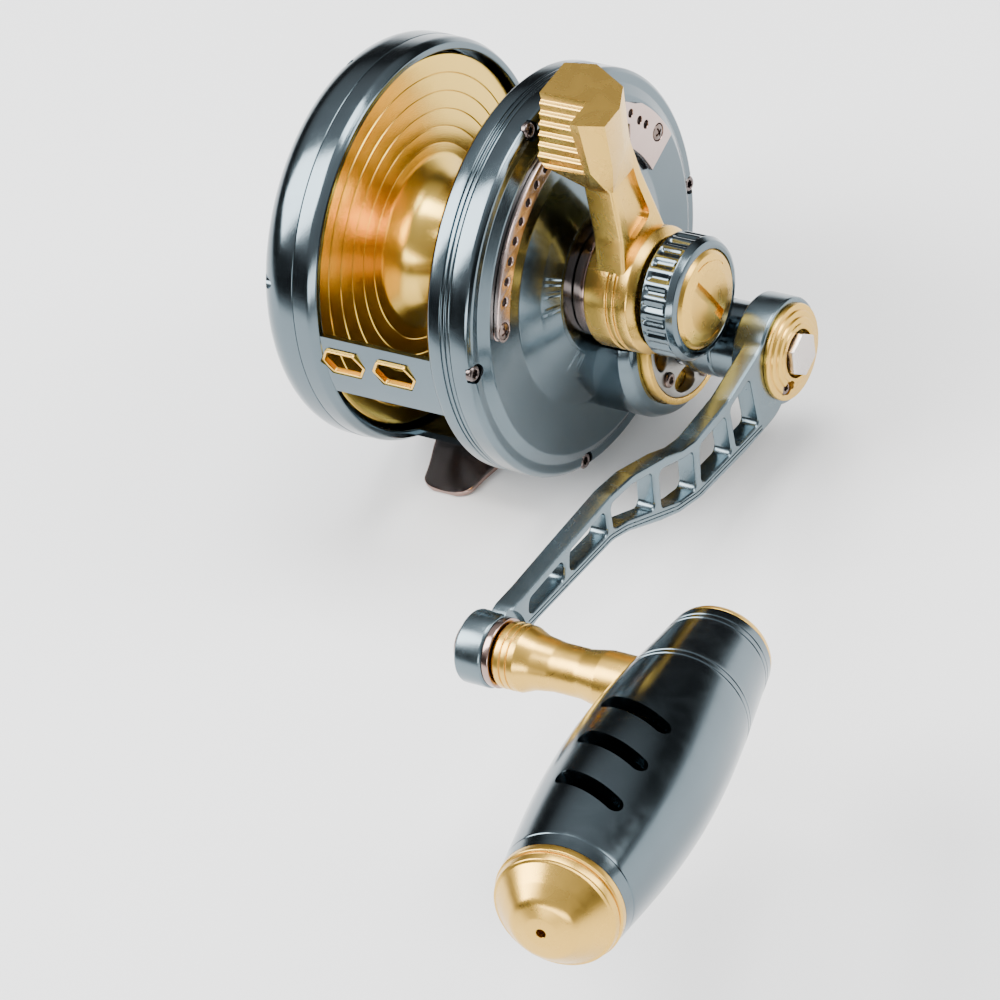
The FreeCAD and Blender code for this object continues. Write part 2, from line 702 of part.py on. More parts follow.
def make_preset_knob():
    r = preset_radius
    body = turned([(preset_in, 0), (preset_in, r - 1.2), (preset_in + 1.0, r), (preset_out - 1.6, r),
                   (preset_out - 0.3, r - 0.9), (preset_out, r - 1.6), (preset_out, 0)])
    for step in range(24):
        y, z = polar(r + 0.9, 15 * step)
        body = body.cut(rod(preset_in + 1.4, preset_out - 2.0, 1.4, y, z))
    spring_room = rod(preset_in - 1, preset_in + 2.2, 6.6)
    face_room = rod(preset_out - 1.4, preset_out + 1, preset_disc_radius)
    bore = rod(preset_in - 1, preset_out + 1, shaft_radius + running_fit)
    return body.cut(spring_room).cut(face_room).cut(bore)


def make_preset_disc():
    r = preset_disc_radius
    x = preset_out - 1.4
    disc = turned([(x, 0), (x, r), (x + 1.2, r), (x + 1.9, r - 1.0), (x + 2.3, r - 3.2),
                   (x + 2.5, 0)])
    disc = disc.cut(rod(x - 1, x + 0.4, shaft_radius + 0.6))
    slot = box(x + 1.3, x + 4, -0.9, 0.9, -6.0, 6.0)
    return disc.cut(spun(slot, 19))


def make_preset_spring():
    """Two opposed cone washers between the lever hub and the preset knob."""
    stack = []
    for step in range(2):
        x = hub_out + 0.15 + step * 1.35
        rise = 0.5 if step == 0 else -0.5
        shift = 0.0 if step == 0 else 0.5
        washer = turned([(x + shift, 3.4), (x + shift + rise, 6.0), (x + shift + rise + 0.6, 6.0),
                         (x + shift + 0.6, 3.4)])
        stack.append(washer)
    return group(stack)


# ---- drive train and handle --------------------------------------------------------------
def make_main_gear():
    y, z = drive_axis_y, drive_axis_z
    to_pinion = math.degrees(math.atan2(-z, -y))
    wheel = gear(main_teeth, gear_in, gear_out, to_pinion, y, z)
    wheel = wheel.cut(rod(gear_in - 1, gear_out + 1, drive_shaft_radius, y, z))
    for step in range(6):
        a, b = polar(8.2, 60 * step + 20)
        wheel = wheel.cut(rod(gear_in - 1, gear_out + 1, 2.2, y + a, z + b))
    return wheel


def make_drive_shaft():
    y, z = drive_axis_y, drive_axis_z
    body = rod(bridge_in + 0.1, arm_outer_face + 3.2, drive_shaft_radius, y, z)
    collar = rod(gear_out, gear_out + 0.9, drive_shaft_radius + 1.6, y, z)
    flats = []
    for side in (-1, 1):
        low = z + side * (drive_shaft_radius - 0.5)
        flats.append(box(arm_inner_face, arm_outer_face + 4, y - 5, y + 5,
                         min(low, low + side * 2), max(low, low + side * 2)))
    return joined([body, collar]).cut(flats[0]).cut(flats[1])


def make_inner_bearing():
    inner = drive_shaft_radius + running_fit
    return ball_bearing(bridge_in, bridge_out, inner_bearing_radius, inner, drive_axis_y, drive_axis_z)


clutch_in_offset = 2.0


def make_clutch_shell():
    y, z = drive_axis_y, drive_axis_z
    return tube(gear_out + clutch_in_offset, gearbox_face - cover_recess, drive_bearing_radius, 5.6, y, z)


def make_clutch_rollers():
    y, z = drive_axis_y, drive_axis_z
    rollers = []
    for step in range(8):
        a, b = polar(4.62, 45 * step)
        rollers.append(rod(gear_out + clutch_in_offset + 0.3, gearbox_face - 1.7, 0.9, y + a, z + b))
    return group(rollers)


def make_outer_bearing():
    inner = drive_shaft_radius + running_fit
    return ball_bearing(gearbox_face - cover_recess, cover_out, drive_bearing_radius, inner,
                        drive_axis_y, drive_axis_z)


def make_handle_sleeve():
    y, z = drive_axis_y, drive_axis_z
    r = sleeve_radius
    x0 = cover_out + body_gap
    sleeve = turned([(x0, 0), (x0, r - 1.6), (x0 + 1.2, r - 0.6), (x0 + 3.0, r), (x0 + 8.0, r),
                     (x0 + 8.3, r - 0.3), (x0 + 8.7, r - 0.3), (x0 + 9.0, r),
                     (arm_inner_face - 0.6, r), (arm_inner_face, r - 0.6), (arm_inner_face, 0)], y, z)
    return sleeve.cut(rod(x0 - 1, arm_inner_face + 1, drive_shaft_radius, y, z))


def arm_point(along, up):
    """Y and Z of a point on the arm: distance from the drive axis and height across it."""
    a, b = polar(along, arm_angle)
    c, d = polar(up, arm_angle - 90)
    return drive_axis_y + a + c, drive_axis_z + b + d


def arm_block(corners, x0, x1):
    """Block with an outline given along and across a standard arm, stretched to this arm's length."""
    stretch = arm_length / 98.2
    return prism([arm_point(s * stretch, u) for s, u in corners], x0, x1)


arm_upper = [(0.0, 9.8), (10.0, 5.6), (21.0, 2.6), (33.0, 1.6), (37.5, 2.4), (43.0, 4.6),
             (53.0, 7.4), (60.0, 8.0), (75.0, 7.2), (88.0, 6.4), (98.8, 6.4)]
arm_lower = [(98.8, -4.0), (88.0, -0.6), (62.0, -0.8), (57.0, -2.2), (47.0, -6.6), (41.0, -8.8),
             (34.0, -10.2), (18.0, -10.6), (0.0, -9.8)]
arm_windows = [[(13.0, -7.6), (13.6, 1.6), (20.6, -0.2), (20.6, -7.9)],
               [(23.0, -7.9), (23.0, -0.6), (31.4, -0.9), (32.6, -7.6)],
               [(34.8, -7.2), (34.0, -0.6), (37.0, -0.2), (44.6, 1.9), (45.4, -4.0), (40.0, -6.4)],
               [(48.4, -2.6), (47.6, 3.2), (54.0, 5.0), (60.6, 5.2), (60.6, 1.4), (56.6, 0.4)],
               [(63.2, 1.6), (63.2, 5.2), (74.4, 4.6), (75.4, 1.8)],
               [(78.0, 1.8), (77.0, 4.4), (88.2, 3.8), (89.0, 1.9)]]


def make_handle_arm():
    y, z = drive_axis_y, drive_axis_z
    plate = arm_block(arm_upper + arm_lower, arm_inner_face, arm_outer_face)
    end_y, end_z = arm_point(arm_length, 0)
    head = rod(arm_inner_face, arm_outer_face, 10.2, y, z)
    end = rod(arm_inner_face, arm_outer_face - 0.8, 6.6, end_y, end_z)
    top_step = rod(arm_outer_face - 0.8, arm_outer_face + 1, 7.6, end_y, end_z)
    arm = joined([joined([plate, head]).cut(top_step), end])
    for corners in arm_windows:
        arm = arm.cut(arm_block(corners, arm_inner_face - 1, arm_outer_face + 1))
    for start, stop in (((13.0, -9.2), (34.5, -8.9)), ((34.5, -8.9), (41.6, -7.4)),
                        ((41.6, -7.4), (57.4, -0.9)), ((57.4, -0.9), (62.4, 0.4)),
                        ((62.4, 0.4), (88.0, 0.6))):
        arm = arm.cut(arm_groove(start, stop))
    shaft_hole = rod(arm_inner_face - 1, arm_outer_face + 1, drive_shaft_radius + 0.02, y, z)
    flat = drive_shaft_radius - 0.48
    shaft_hole = shaft_hole.common(box(arm_inner_face - 2, arm_outer_face + 2,
                                       y - 9, y + 9, z - flat, z + flat))
    arm = arm.cut(shaft_hole)
    return arm.cut(rod(arm_inner_face - 1, arm_outer_face + 1, stud_radius, end_y, end_z))


def arm_groove(start, stop):
    """Shallow channel along the lower edge of the arm's outer face."""
    half = 0.45
    slope = math.atan2(stop[1] - start[1], stop[0] - start[0])
    across = (-math.sin(slope) * half, math.cos(slope) * half)
    corners = [(start[0] + across[0], start[1] + across[1]), (stop[0] + across[0], stop[1] + across[1]),
               (stop[0] - across[0], stop[1] - across[1]), (start[0] - across[0], start[1] - across[1])]
    return arm_block(corners, arm_outer_face - 0.5, arm_outer_face + 1)


stud_radius = 3.0


def make_handle_cap():
    y, z = drive_axis_y, drive_axis_z
    r = arm_cap_radius
    x = arm_outer_face
    cap = turned([(x, 0), (x, r), (x + 1.0, r), (x + 1.0, r - 1.2), (x + 1.5, r - 1.2),
                  (x + 1.5, r - 2.4), (x + 2.0, r - 2.4), (x + 2.0, r - 3.6), (x + 2.3, r - 3.6),
                  (x + 2.3, 0)], y, z)
    cap = cap.cut(rod(x - 1, x + 4, 4.6, y, z))
    a, b = arm_point(4.4, -5.0)
    return cap.cut(rod(x - 1, x + 4, 1.5, a, b))


def make_handle_nut():
    y, z = drive_axis_y, drive_axis_z
    x = arm_outer_face + 0.02
    corners = [polar(4.4, 60 * step + 12) for step in range(6)]
    nut = prism([(y + a, z + b) for a, b in corners], x, x + 3.4)
    return nut.cut(rod(x - 1, x + 3.2, drive_shaft_radius, y, z))


def make_cap_lock_screw():
    x = arm_outer_face
    a, b = arm_point(4.4, -5.0)
    head = rod(x + 0.3, x + 1.3, 1.4, a, b)
    shank = rod(x, x + 0.3, 0.8, a, b)
    return joined([head, shank]).cut(rod(x + 0.8, x + 2, 0.6, a, b))


def knob_centre():
    y, z = arm_point(arm_length, 0)
    return V(knob_x, y, z)


def make_knob_stud():
    y, z = arm_point(arm_length, 0)
    head = turned([(arm_inner_face - 2.2, 0), (arm_inner_face - 2.2, 2.8), (arm_inner_face - 1.2, 4.4),
                   (arm_inner_face, 4.6), (arm_inner_face, 0)], y, z)
    pin = rod(arm_inner_face, knob_x - 4.0, stud_radius, y, z)
    return joined([head, pin])


def make_stud_washer():
    y, z = arm_point(arm_length, 0)
    return tube(arm_outer_face - 0.8, arm_outer_face + 0.6, 6.3, stud_radius, y, z)


spindle_in_gap = 0.3


def make_knob_spindle():
    y, z = arm_point(arm_length, 0)
    x0 = arm_outer_face + 0.6 + spindle_in_gap
    end = knob_x - 3.0
    body = turned([(x0, 0), (x0, 5.3), (x0 + 1.2, 6.0), (x0 + 4.4, 6.0), (x0 + 6.4, 5.0),
                   (x0 + 10.0, 4.4), (x0 + 17.0, 4.5), (x0 + 20.5, 5.2), (end, 5.2), (end, 0)], y, z)
    return body.cut(rod(x0 - 1, end + 1, spindle_bore, y, z))


spindle_bore = 4.0


def make_knob_bushings():
    y, z = arm_point(arm_length, 0)
    x0 = arm_outer_face + 0.6 + spindle_in_gap
    end = knob_x - 3.0
    inner = stud_radius + running_fit
    return group([tube(x0, x0 + 5.0, spindle_bore, inner, y, z),
                  tube(end - 6.0, end - 1.2, spindle_bore, inner, y, z)])


def barrel_direction():
    """Unit vector along the barrel, towards its large end."""
    slant = math.radians(barrel_slant)
    yaw = math.radians(barrel_yaw)
    return V(math.sin(slant), -math.cos(slant) * math.cos(yaw), math.cos(slant) * math.sin(yaw))


def barrel_turned(profile):
    """Solid turned about the barrel axis from (distance, radius) points."""
    points = [V(t, r, 0) for t, r in profile]
    face = Part.Face(Part.makePolygon(points + [points[0]]))
    solid = face.revolve(V(0, 0, 0), V(1, 0, 0), 360)
    turn = FreeCAD.Rotation(V(1, 0, 0), barrel_direction())
    solid.Placement = FreeCAD.Placement(knob_centre(), turn)
    return solid


def barrel_radius(t):
    """Outer radius of the barrel at a distance along it from the stem, towards the large end."""
    length = barrel_long_side + barrel_short_side
    u = (barrel_long_side - t) / length
    swell = math.sin(math.pi * min(1.0, max(0.0, u)) ** 0.92) ** 1.15
    ends = 11.3 + (9.6 - 11.3) * u
    return ends + 3.3 * swell


def barrel_stations(start, stop, steps):
    return [start + (stop - start) * step / steps for step in range(steps + 1)]


def make_knob_barrel():
    outer = [(t, barrel_radius(t)) for t in barrel_stations(-barrel_short_side, barrel_long_side, 28)]
    solid = barrel_turned([(-barrel_short_side, 0)] + outer + [(barrel_long_side, 0)])
    inside = barrel_stations(-barrel_short_side + 1.8, barrel_long_side - 2.0, 24)
    inner = [(t, barrel_radius(t) - barrel_wall) for t in inside]
    core = barrel_turned([(inside[0], 0)] + inner + [(inside[-1], 0)])
    centre = knob_centre()
    boss = rod(knob_x - 16, knob_x, 7.4, centre.y, centre.z)
    boss = boss.common(solid)
    barrel = joined([solid.cut(core), boss])
    bore = rod(knob_x - 20, knob_x - 3.0, 5.2, centre.y, centre.z)
    barrel = barrel.cut(bore)
    tail = rod(knob_x - 5, knob_x - 1.6, stud_radius + 0.6, centre.y, centre.z)
    barrel = barrel.cut(tail)
    for step in range(3):
        barrel = barrel.cut(barrel_slot(barrel_long_side - 14.7 - slot_spacing * step))
    return barrel


slot_direction = 72.0        # middle of the slots, about the barrel axis
slot_sweep = 52.0
slot_spacing = 10.5
slot_tilt = 22.0             # slots run slightly along the barrel


def barrel_slot(t):
    """Slanting slot through the barrel wall, round part of its girth, with rounded ends."""
    half = 1.6
    reach = slot_sweep / 2
    inner = barrel_radius(t) - barrel_wall - 1.6
    slot = sector(-half, half, inner, 20, slot_direction - reach, slot_direction + reach)
    for end in (slot_direction - reach, slot_direction + reach):
        y, z = polar(1.0, end)
        slot = slot.fuse(Part.makeCylinder(half, 20 - inner, V(0, y * inner, z * inner), V(0, y, z)))
    y, z = polar(1.0, slot_direction)
    slot.rotate(V(0, 0, 0), V(0, y, z), -slot_tilt)
    slot.translate(V(t, 0, 0))
    turn = FreeCAD.Rotation(V(1, 0, 0), barrel_direction())
    return slot_placed(slot, turn)


def slot_placed(slot, turn):
    """Slot drawn about the X axis, moved onto the barrel."""
    place = FreeCAD.Placement(knob_centre(), turn)
    return slot.transformGeometry(place.toMatrix())


def make_near_end_cap():
    t = barrel_long_side
    r = barrel_radius(t)
    cap = barrel_turned([(t, 0), (t, r), (t + 1.6, r), (t + 1.6, r - 0.9), (t + 3.6, r - 1.1),
                         (t + 3.8, r - 1.7), (t + 7.6, r - 5.0), (t + 8.8, r - 6.8), (t + 9.2, 0)])
    return cap.cut(barrel_turned([(t + 4, 0), (t + 4, 0.8), (t + 10, 0.8), (t + 10, 0)]))


def make_far_end_cap():
    t = -barrel_short_side
    r = barrel_radius(t)
    return barrel_turned([(t - 3.4, 0), (t - 3.4, r - 3.6), (t - 2.4, r - 1.6), (t - 1.2, r - 0.3),
                          (t, r), (t, 0)])


pieces = {
    "frame": make_frame,
    "reel_foot": make_reel_foot,
    "foot_screws": make_foot_screws,
    "left_side_plate": make_left_side_plate,
    "left_plate_screws": make_left_plate_screws,
    "shaft_bushing": make_shaft_bushing,
    "left_bearing_cap": make_left_cap,
    "right_side_plate": make_right_side_plate,
    "right_plate_screws": make_right_plate_screws,
    "quadrant_plate": make_quadrant_plate,
    "quadrant_screws": make_quadrant_screws,
    "gear_cover": make_gear_cover,
    "gear_cover_ring": make_cover_ring,
    "gear_cover_screws": make_cover_screws,
    "gear_bridge": make_gear_bridge,
    "spool": make_spool,
    "spool_bearings": make_spool_bearings,
    "drag_washer": make_drag_washer,
    "drive_plate": make_drive_plate,
    "pinion_gear": make_pinion_gear,
    "pinion_bearing": make_pinion_bearing,
    "spool_shaft": make_spool_shaft,
    "fixed_cam": make_fixed_cam,
    "thrust_washer": make_thrust_washer,
    "lever_collar": make_lever_collar,
    "drag_lever": make_drag_lever,
    "detent_plunger": make_detent_plunger,
    "detent_spring": make_detent_spring,
    "preset_knob": make_preset_knob,
    "preset_disc": make_preset_disc,
    "preset_spring": make_preset_spring,
    "main_gear": make_main_gear,
    "drive_shaft": make_drive_shaft,
    "drive_inner_bearing": make_inner_bearing,
    "drive_outer_bearing": make_outer_bearing,
    "clutch_shell": make_clutch_shell,
    "clutch_rollers": make_clutch_rollers,
    "handle_sleeve": make_handle_sleeve,
    "handle_arm": make_handle_arm,
    "handle_cap": make_handle_cap,
    "handle_nut": make_handle_nut,
    "cap_lock_screw": make_cap_lock_screw,
    "knob_stud": make_knob_stud,
    "stud_washer": make_stud_washer,
    "knob_spindle": make_knob_spindle,
    "knob_bushings": make_knob_bushings,
    "knob_barrel": make_knob_barrel,
    "near_end_cap": make_near_end_cap,
    "far_end_cap": make_far_end_cap,
}

os.makedirs("parts", exist_ok=True)
for node, make in pieces.items():
    shape = make()
    shape.translate(V(0, 0, spool_axis_height))
    shape.exportStep("parts/" + node + ".step")
    print(node, "solids", len(shape.Solids), "valid", shape.isValid(), "volume", round(shape.Volume, 1))
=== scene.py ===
import json

import bmesh
import bpy
import numpy as np
from mathutils import Matrix, Vector


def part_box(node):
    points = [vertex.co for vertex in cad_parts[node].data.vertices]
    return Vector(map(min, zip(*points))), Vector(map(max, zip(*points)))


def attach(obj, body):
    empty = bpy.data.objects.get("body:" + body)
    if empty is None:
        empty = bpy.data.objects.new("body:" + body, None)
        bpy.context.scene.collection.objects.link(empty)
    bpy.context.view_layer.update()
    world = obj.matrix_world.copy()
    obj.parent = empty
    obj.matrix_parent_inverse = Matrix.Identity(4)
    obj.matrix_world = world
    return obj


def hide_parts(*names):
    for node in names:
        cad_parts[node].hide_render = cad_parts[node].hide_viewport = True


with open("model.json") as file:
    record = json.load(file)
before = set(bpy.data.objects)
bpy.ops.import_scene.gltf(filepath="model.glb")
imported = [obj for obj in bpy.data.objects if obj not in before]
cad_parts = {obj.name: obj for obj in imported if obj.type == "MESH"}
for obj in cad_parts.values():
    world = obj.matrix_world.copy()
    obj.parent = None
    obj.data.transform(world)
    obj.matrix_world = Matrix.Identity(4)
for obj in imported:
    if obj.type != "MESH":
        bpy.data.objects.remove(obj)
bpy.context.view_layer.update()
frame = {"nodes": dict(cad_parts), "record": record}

# ---- left side plate ------------------------------------------------------------------
# The non-handle side is one turned and polished aluminium cover. Its large rounded edge
# stands a little proud of the frame ring, and five screws clamp it to the ring.
mm = 0.001
spool_low, spool_high = (Vector(corner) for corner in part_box("spool"))
axis_height = (spool_low.z + spool_high.z) / 2
axis_y = (spool_low.y + spool_high.y) / 2
turn_steps = 192


def rounded(corners, radius, closed=False, steps=7):
    """Outline whose corners are arcs. Each corner p keeps t = r / tan(a / 2) of its two sides,
    and the arc is swung between those two points about its centre by spherical interpolation."""
    points = np.array(corners, dtype=float)
    radii = np.broadcast_to(np.asarray(radius, dtype=float), (len(points),))
    out = []
    for index, corner in enumerate(points):
        before = points[index - 1]
        after = points[(index + 1) % len(points)]
        ends = not closed and index in (0, len(points) - 1)
        if ends or radii[index] == 0:
            out.append(corner[None])
            continue
        one, two = before - corner, after - corner
        len_one, len_two = np.linalg.norm(one), np.linalg.norm(two)
        one, two = one / len_one, two / len_two
        angle = np.arccos(np.clip(one @ two, -1, 1))
        if angle > np.pi - 0.03:
            out.append(corner[None])
            continue
        reach = min(radii[index] / np.tan(angle / 2), 0.48 * len_one, 0.48 * len_two)
        size = reach * np.tan(angle / 2)
        middle = one + two
        centre = corner + middle / np.linalg.norm(middle) * size / np.sin(angle / 2)
        start, stop = corner + one * reach - centre, corner + two * reach - centre
        sweep = np.pi - angle
        k = np.linspace(0, 1, steps)[:, None]
        arc = (start * np.sin((1 - k) * sweep) + stop * np.sin(k * sweep)) / np.sin(sweep)
        out.append(centre + arc)
    return np.concatenate(out)


def add_piece(name, points, faces, sharp=32):
    """Mesh object at the origin from arrays of points (metres) and faces, smooth except past an angle."""
    mesh = bpy.data.meshes.new(name)
    mesh.from_pydata(points.tolist(), [], faces)
    mesh.update()
    piece = bpy.data.objects.new(name, mesh)
    bpy.context.scene.collection.objects.link(piece)
    smooth(piece, sharp)
    return piece


def smooth(piece, sharp=32):
    """Smooth shading with edges sharper than an angle kept crisp."""
    mesh = piece.data
    mesh.polygons.foreach_set("use_smooth", np.ones(len(mesh.polygons), dtype=bool))
    mesh.set_sharp_from_angle(angle=np.radians(sharp))


def about(x=0.0, y=0.0, z=0.0, direction=(1, 0, 0)):
    """Matrix that takes a piece drawn about the X axis, in millimetres, to its place in the reel."""
    turn = Vector((1, 0, 0)).rotation_difference(Vector(direction)).to_matrix().to_4x4()
    return Matrix.Translation((x, y, z)) @ turn


def placed(points, place):
    """Points in metres from local millimetres and a placing matrix."""
    matrix = np.array(place)
    return (np.asarray(points, dtype=float) @ matrix[:3, :3].T + matrix[:3, 3]) * mm


def lathe(name, profile, place, steps=turn_steps, change=None, sweep=None):
    """Surface of revolution. Point (i, j) is (x_i, r_i cos a_j, r_i sin a_j); change(x, r, a) may alter
    the radius, and a sweep in degrees makes an arc-shaped slab with flat ends."""
    profile = np.array(profile, dtype=float)
    x, r = profile[:, 0][:, None], profile[:, 1][:, None]
    whole = sweep is None
    low, high = (0, 360) if whole else sweep
    turn = np.radians(np.linspace(low, high, steps, endpoint=not whole))[None, :]
    radius = r + 0 * turn if change is None else change(x, r, turn)
    local = np.stack([x + 0 * turn, radius * np.cos(turn), radius * np.sin(turn)], -1)
    rows = len(profile)
    last = steps if whole else steps - 1
    row, col = np.meshgrid(np.arange(rows - 1), np.arange(last), indexing="ij")
    following = (col + 1) % steps
    quads = np.stack([row * steps + col, row * steps + following,
                      (row + 1) * steps + following, (row + 1) * steps + col], -1)
    faces = quads.reshape(-1, 4).tolist()
    if not whole:
        ends = np.arange(rows - 1) * steps
        faces += [ends.tolist(), (ends + steps - 1)[::-1].tolist()]
    piece = add_piece(name, placed(local.reshape(-1, 3), place), faces)
    tidy_mesh(piece)
    return piece


def hoop(corners, radius, steps=7):
    """Closed section of a ring-shaped piece with rounded corners."""
    section = rounded(corners, radius, True, steps)
    return np.concatenate([section, section[:1]])


def drum(x0, x1, radius, place, name="tool", steps=48):
    """Plain cylinder about X, used to cut holes."""
    return lathe(name, [(x0, 0), (x0, radius), (x1, radius), (x1, 0)], place, steps)


def polar(radius, degrees):
    """Y and Z of a point at an angle from +Y towards +Z."""
    return radius * np.cos(np.radians(degrees)), radius * np.sin(np.radians(degrees))


def tidy_mesh(piece):
    """Merges doubles at poles and seams and points every face outwards."""
    work = bmesh.new()
    work.from_mesh(piece.data)
    bmesh.ops.remove_doubles(work, verts=work.verts, dist=2e-6)
    bmesh.ops.recalc_face_normals(work, faces=work.faces)
    work.to_mesh(piece.data)
    work.free()
    smooth(piece)


def combine(piece, tool, how="DIFFERENCE"):
    """Cuts the tool from a piece, or joins it on with UNION, and deletes the tool."""
    step = piece.modifiers.new("join", "BOOLEAN")
    step.object = tool
    step.operation = how
    step.solver = "EXACT"
    baked = bpy.data.meshes.new_from_object(piece.evaluated_get(bpy.context.evaluated_depsgraph_get()))
    piece.modifiers.clear()
    piece.data = baked
    bpy.data.objects.remove(tool)
    smooth(piece)
    return piece


def soften(piece, width, angle=38):
    """Rolled edges: a narrow bevel on every edge sharper than the angle. Width in millimetres."""
    edge = piece.modifiers.new("edges", "BEVEL")
    edge.width = width * mm
    edge.segments = 3
    edge.limit_method = "ANGLE"
    edge.angle_limit = np.radians(angle)
    edge.harden_normals = True
    return piece


def plate_outline(name, outlines, x0, x1, bevel, place, steps=3):
    """Flat plate with holes. The outlines lie in a plane, the first round the outside, and their
    edges are rolled over by the bevel; place maps (u, v, w) arrays in millimetres to points."""
    curve = bpy.data.curves.new(name, "CURVE")
    curve.dimensions = "2D"
    curve.fill_mode = "BOTH"
    half = (x1 - x0) / 2
    curve.extrude = half - bevel
    curve.bevel_depth = bevel
    curve.bevel_resolution = steps
    curve.offset = -bevel
    for outline in outlines:
        spline = curve.splines.new("POLY")
        spline.points.add(len(outline) - 1)
        flat = np.zeros((len(outline), 4))
        flat[:, :2] = outline
        flat[:, 3] = 1
        spline.points.foreach_set("co", flat.ravel())
        spline.use_cyclic_u = True
    holder = bpy.data.objects.new(name + "_curve", curve)
    bpy.context.scene.collection.objects.link(holder)
    bpy.context.view_layer.update()
    mesh = bpy.data.meshes.new_from_object(holder.evaluated_get(bpy.context.evaluated_depsgraph_get()))
    bpy.data.objects.remove(holder)
    flat = np.empty(len(mesh.vertices) * 3)
    mesh.vertices.foreach_get("co", flat)
    flat = flat.reshape(-1, 3)
    placed = place(flat[:, 0], flat[:, 1], flat[:, 2] + (x0 + x1) / 2) * mm
    mesh.vertices.foreach_set("co", placed.ravel())
    mesh.update()
    piece = bpy.data.objects.new(name, mesh)
    bpy.context.scene.collection.objects.link(piece)
    tidy_mesh(piece)
    return piece


def nodes_of(material):
    """The material's node maker, its links and its Principled shader."""
    material.use_nodes = True
    tree = material.node_tree
    return tree.nodes, tree.links, tree.nodes["Principled BSDF"]


def handled_metal_group():
    """Shared finish of anodised metal: broad tone drift, fine pores and handling smudges. Colour is
    the base times a slow noise, roughness is the base plus smudges, height is a fine grain."""
    group = bpy.data.node_groups.new("anodised_finish", "ShaderNodeTree")
    face = group.interface
    for label, kind, value in (("Vector", "NodeSocketVector", None), ("Base", "NodeSocketColor", None),
                               ("Tint", "NodeSocketColor", None), ("Roughness", "NodeSocketFloat", 0.2),
                               ("Drift", "NodeSocketFloat", 0.3), ("Smudge", "NodeSocketFloat", 0.08)):
        socket = face.new_socket(name=label, in_out="INPUT", socket_type=kind)
        if value is not None:
            socket.default_value = value
    face.new_socket(name="Color", in_out="OUTPUT", socket_type="NodeSocketColor")
    face.new_socket(name="Rough", in_out="OUTPUT", socket_type="NodeSocketFloat")
    face.new_socket(name="Height", in_out="OUTPUT", socket_type="NodeSocketFloat")
    nodes, links = group.nodes, group.links
    entry = nodes.new("NodeGroupInput")
    leave = nodes.new("NodeGroupOutput")
    slow = nodes.new("ShaderNodeTexNoise")
    slow.inputs["Scale"].default_value = 55
    slow.inputs["Detail"].default_value = 2
    fine = nodes.new("ShaderNodeTexNoise")
    fine.inputs["Scale"].default_value = 5200
    fine.inputs["Detail"].default_value = 2
    smear = nodes.new("ShaderNodeTexNoise")
    smear.inputs["Scale"].default_value = 170
    smear.inputs["Detail"].default_value = 5
    smear.inputs["Distortion"].default_value = 1.2
    for texture in (slow, fine, smear):
        links.new(entry.outputs["Vector"], texture.inputs["Vector"])
    amount = nodes.new("ShaderNodeMath")
    amount.operation = "MULTIPLY"
    links.new(slow.outputs["Fac"], amount.inputs[0])
    links.new(entry.outputs["Drift"], amount.inputs[1])
    mix = nodes.new("ShaderNodeMix")
    mix.data_type = "RGBA"
    links.new(amount.outputs[0], mix.inputs["Factor"])
    links.new(entry.outputs["Base"], mix.inputs["A"])
    links.new(entry.outputs["Tint"], mix.inputs["B"])
    links.new(mix.outputs["Result"], leave.inputs["Color"])
    edge = nodes.new("ShaderNodeMapRange")
    edge.inputs["From Min"].default_value = 0.42
    edge.inputs["From Max"].default_value = 0.75
    links.new(smear.outputs["Fac"], edge.inputs["Value"])
    more = nodes.new("ShaderNodeMath")
    more.operation = "MULTIPLY_ADD"
    links.new(edge.outputs["Result"], more.inputs[0])
    links.new(entry.outputs["Smudge"], more.inputs[1])
    links.new(entry.outputs["Roughness"], more.inputs[2])
    links.new(more.outputs[0], leave.inputs["Rough"])
    links.new(fine.outputs["Fac"], leave.inputs["Height"])
    return group


anodised_finish = handled_metal_group()


def turning_marks_group():
    """Lathe marks: rings of height about an axis. The distance from the axis, and the place along
    it, each drive a wave of fine lines broken up by noise, so flat and round faces both show them."""
    group = bpy.data.node_groups.new("turning_marks", "ShaderNodeTree")
    face = group.interface
    face.new_socket(name="Vector", in_out="INPUT", socket_type="NodeSocketVector")
    lines = face.new_socket(name="Lines", in_out="INPUT", socket_type="NodeSocketFloat")
    lines.default_value = 6000
    face.new_socket(name="Height", in_out="OUTPUT", socket_type="NodeSocketFloat")
    nodes, links = group.nodes, group.links
    entry = nodes.new("NodeGroupInput")
    leave = nodes.new("NodeGroupOutput")
    split = nodes.new("ShaderNodeSeparateXYZ")
    links.new(entry.outputs["Vector"], split.inputs[0])
    flat = nodes.new("ShaderNodeCombineXYZ")
    links.new(split.outputs["Y"], flat.inputs["Y"])
    links.new(split.outputs["Z"], flat.inputs["Z"])
    length = nodes.new("ShaderNodeVectorMath")
    length.operation = "LENGTH"
    links.new(flat.outputs[0], length.inputs[0])
    both = nodes.new("ShaderNodeCombineXYZ")
    links.new(split.outputs["X"], both.inputs["X"])
    links.new(length.outputs["Value"], both.inputs["Y"])
    scale = nodes.new("ShaderNodeVectorMath")
    scale.operation = "SCALE"
    links.new(both.outputs[0], scale.inputs[0])
    links.new(entry.outputs["Lines"], scale.inputs["Scale"])
    rings = nodes.new("ShaderNodeTexNoise")
    rings.inputs["Scale"].default_value = 1
    rings.inputs["Detail"].default_value = 3
    links.new(scale.outputs[0], rings.inputs["Vector"])
    links.new(rings.outputs["Fac"], leave.inputs["Height"])
    return group


turning_marks = turning_marks_group()


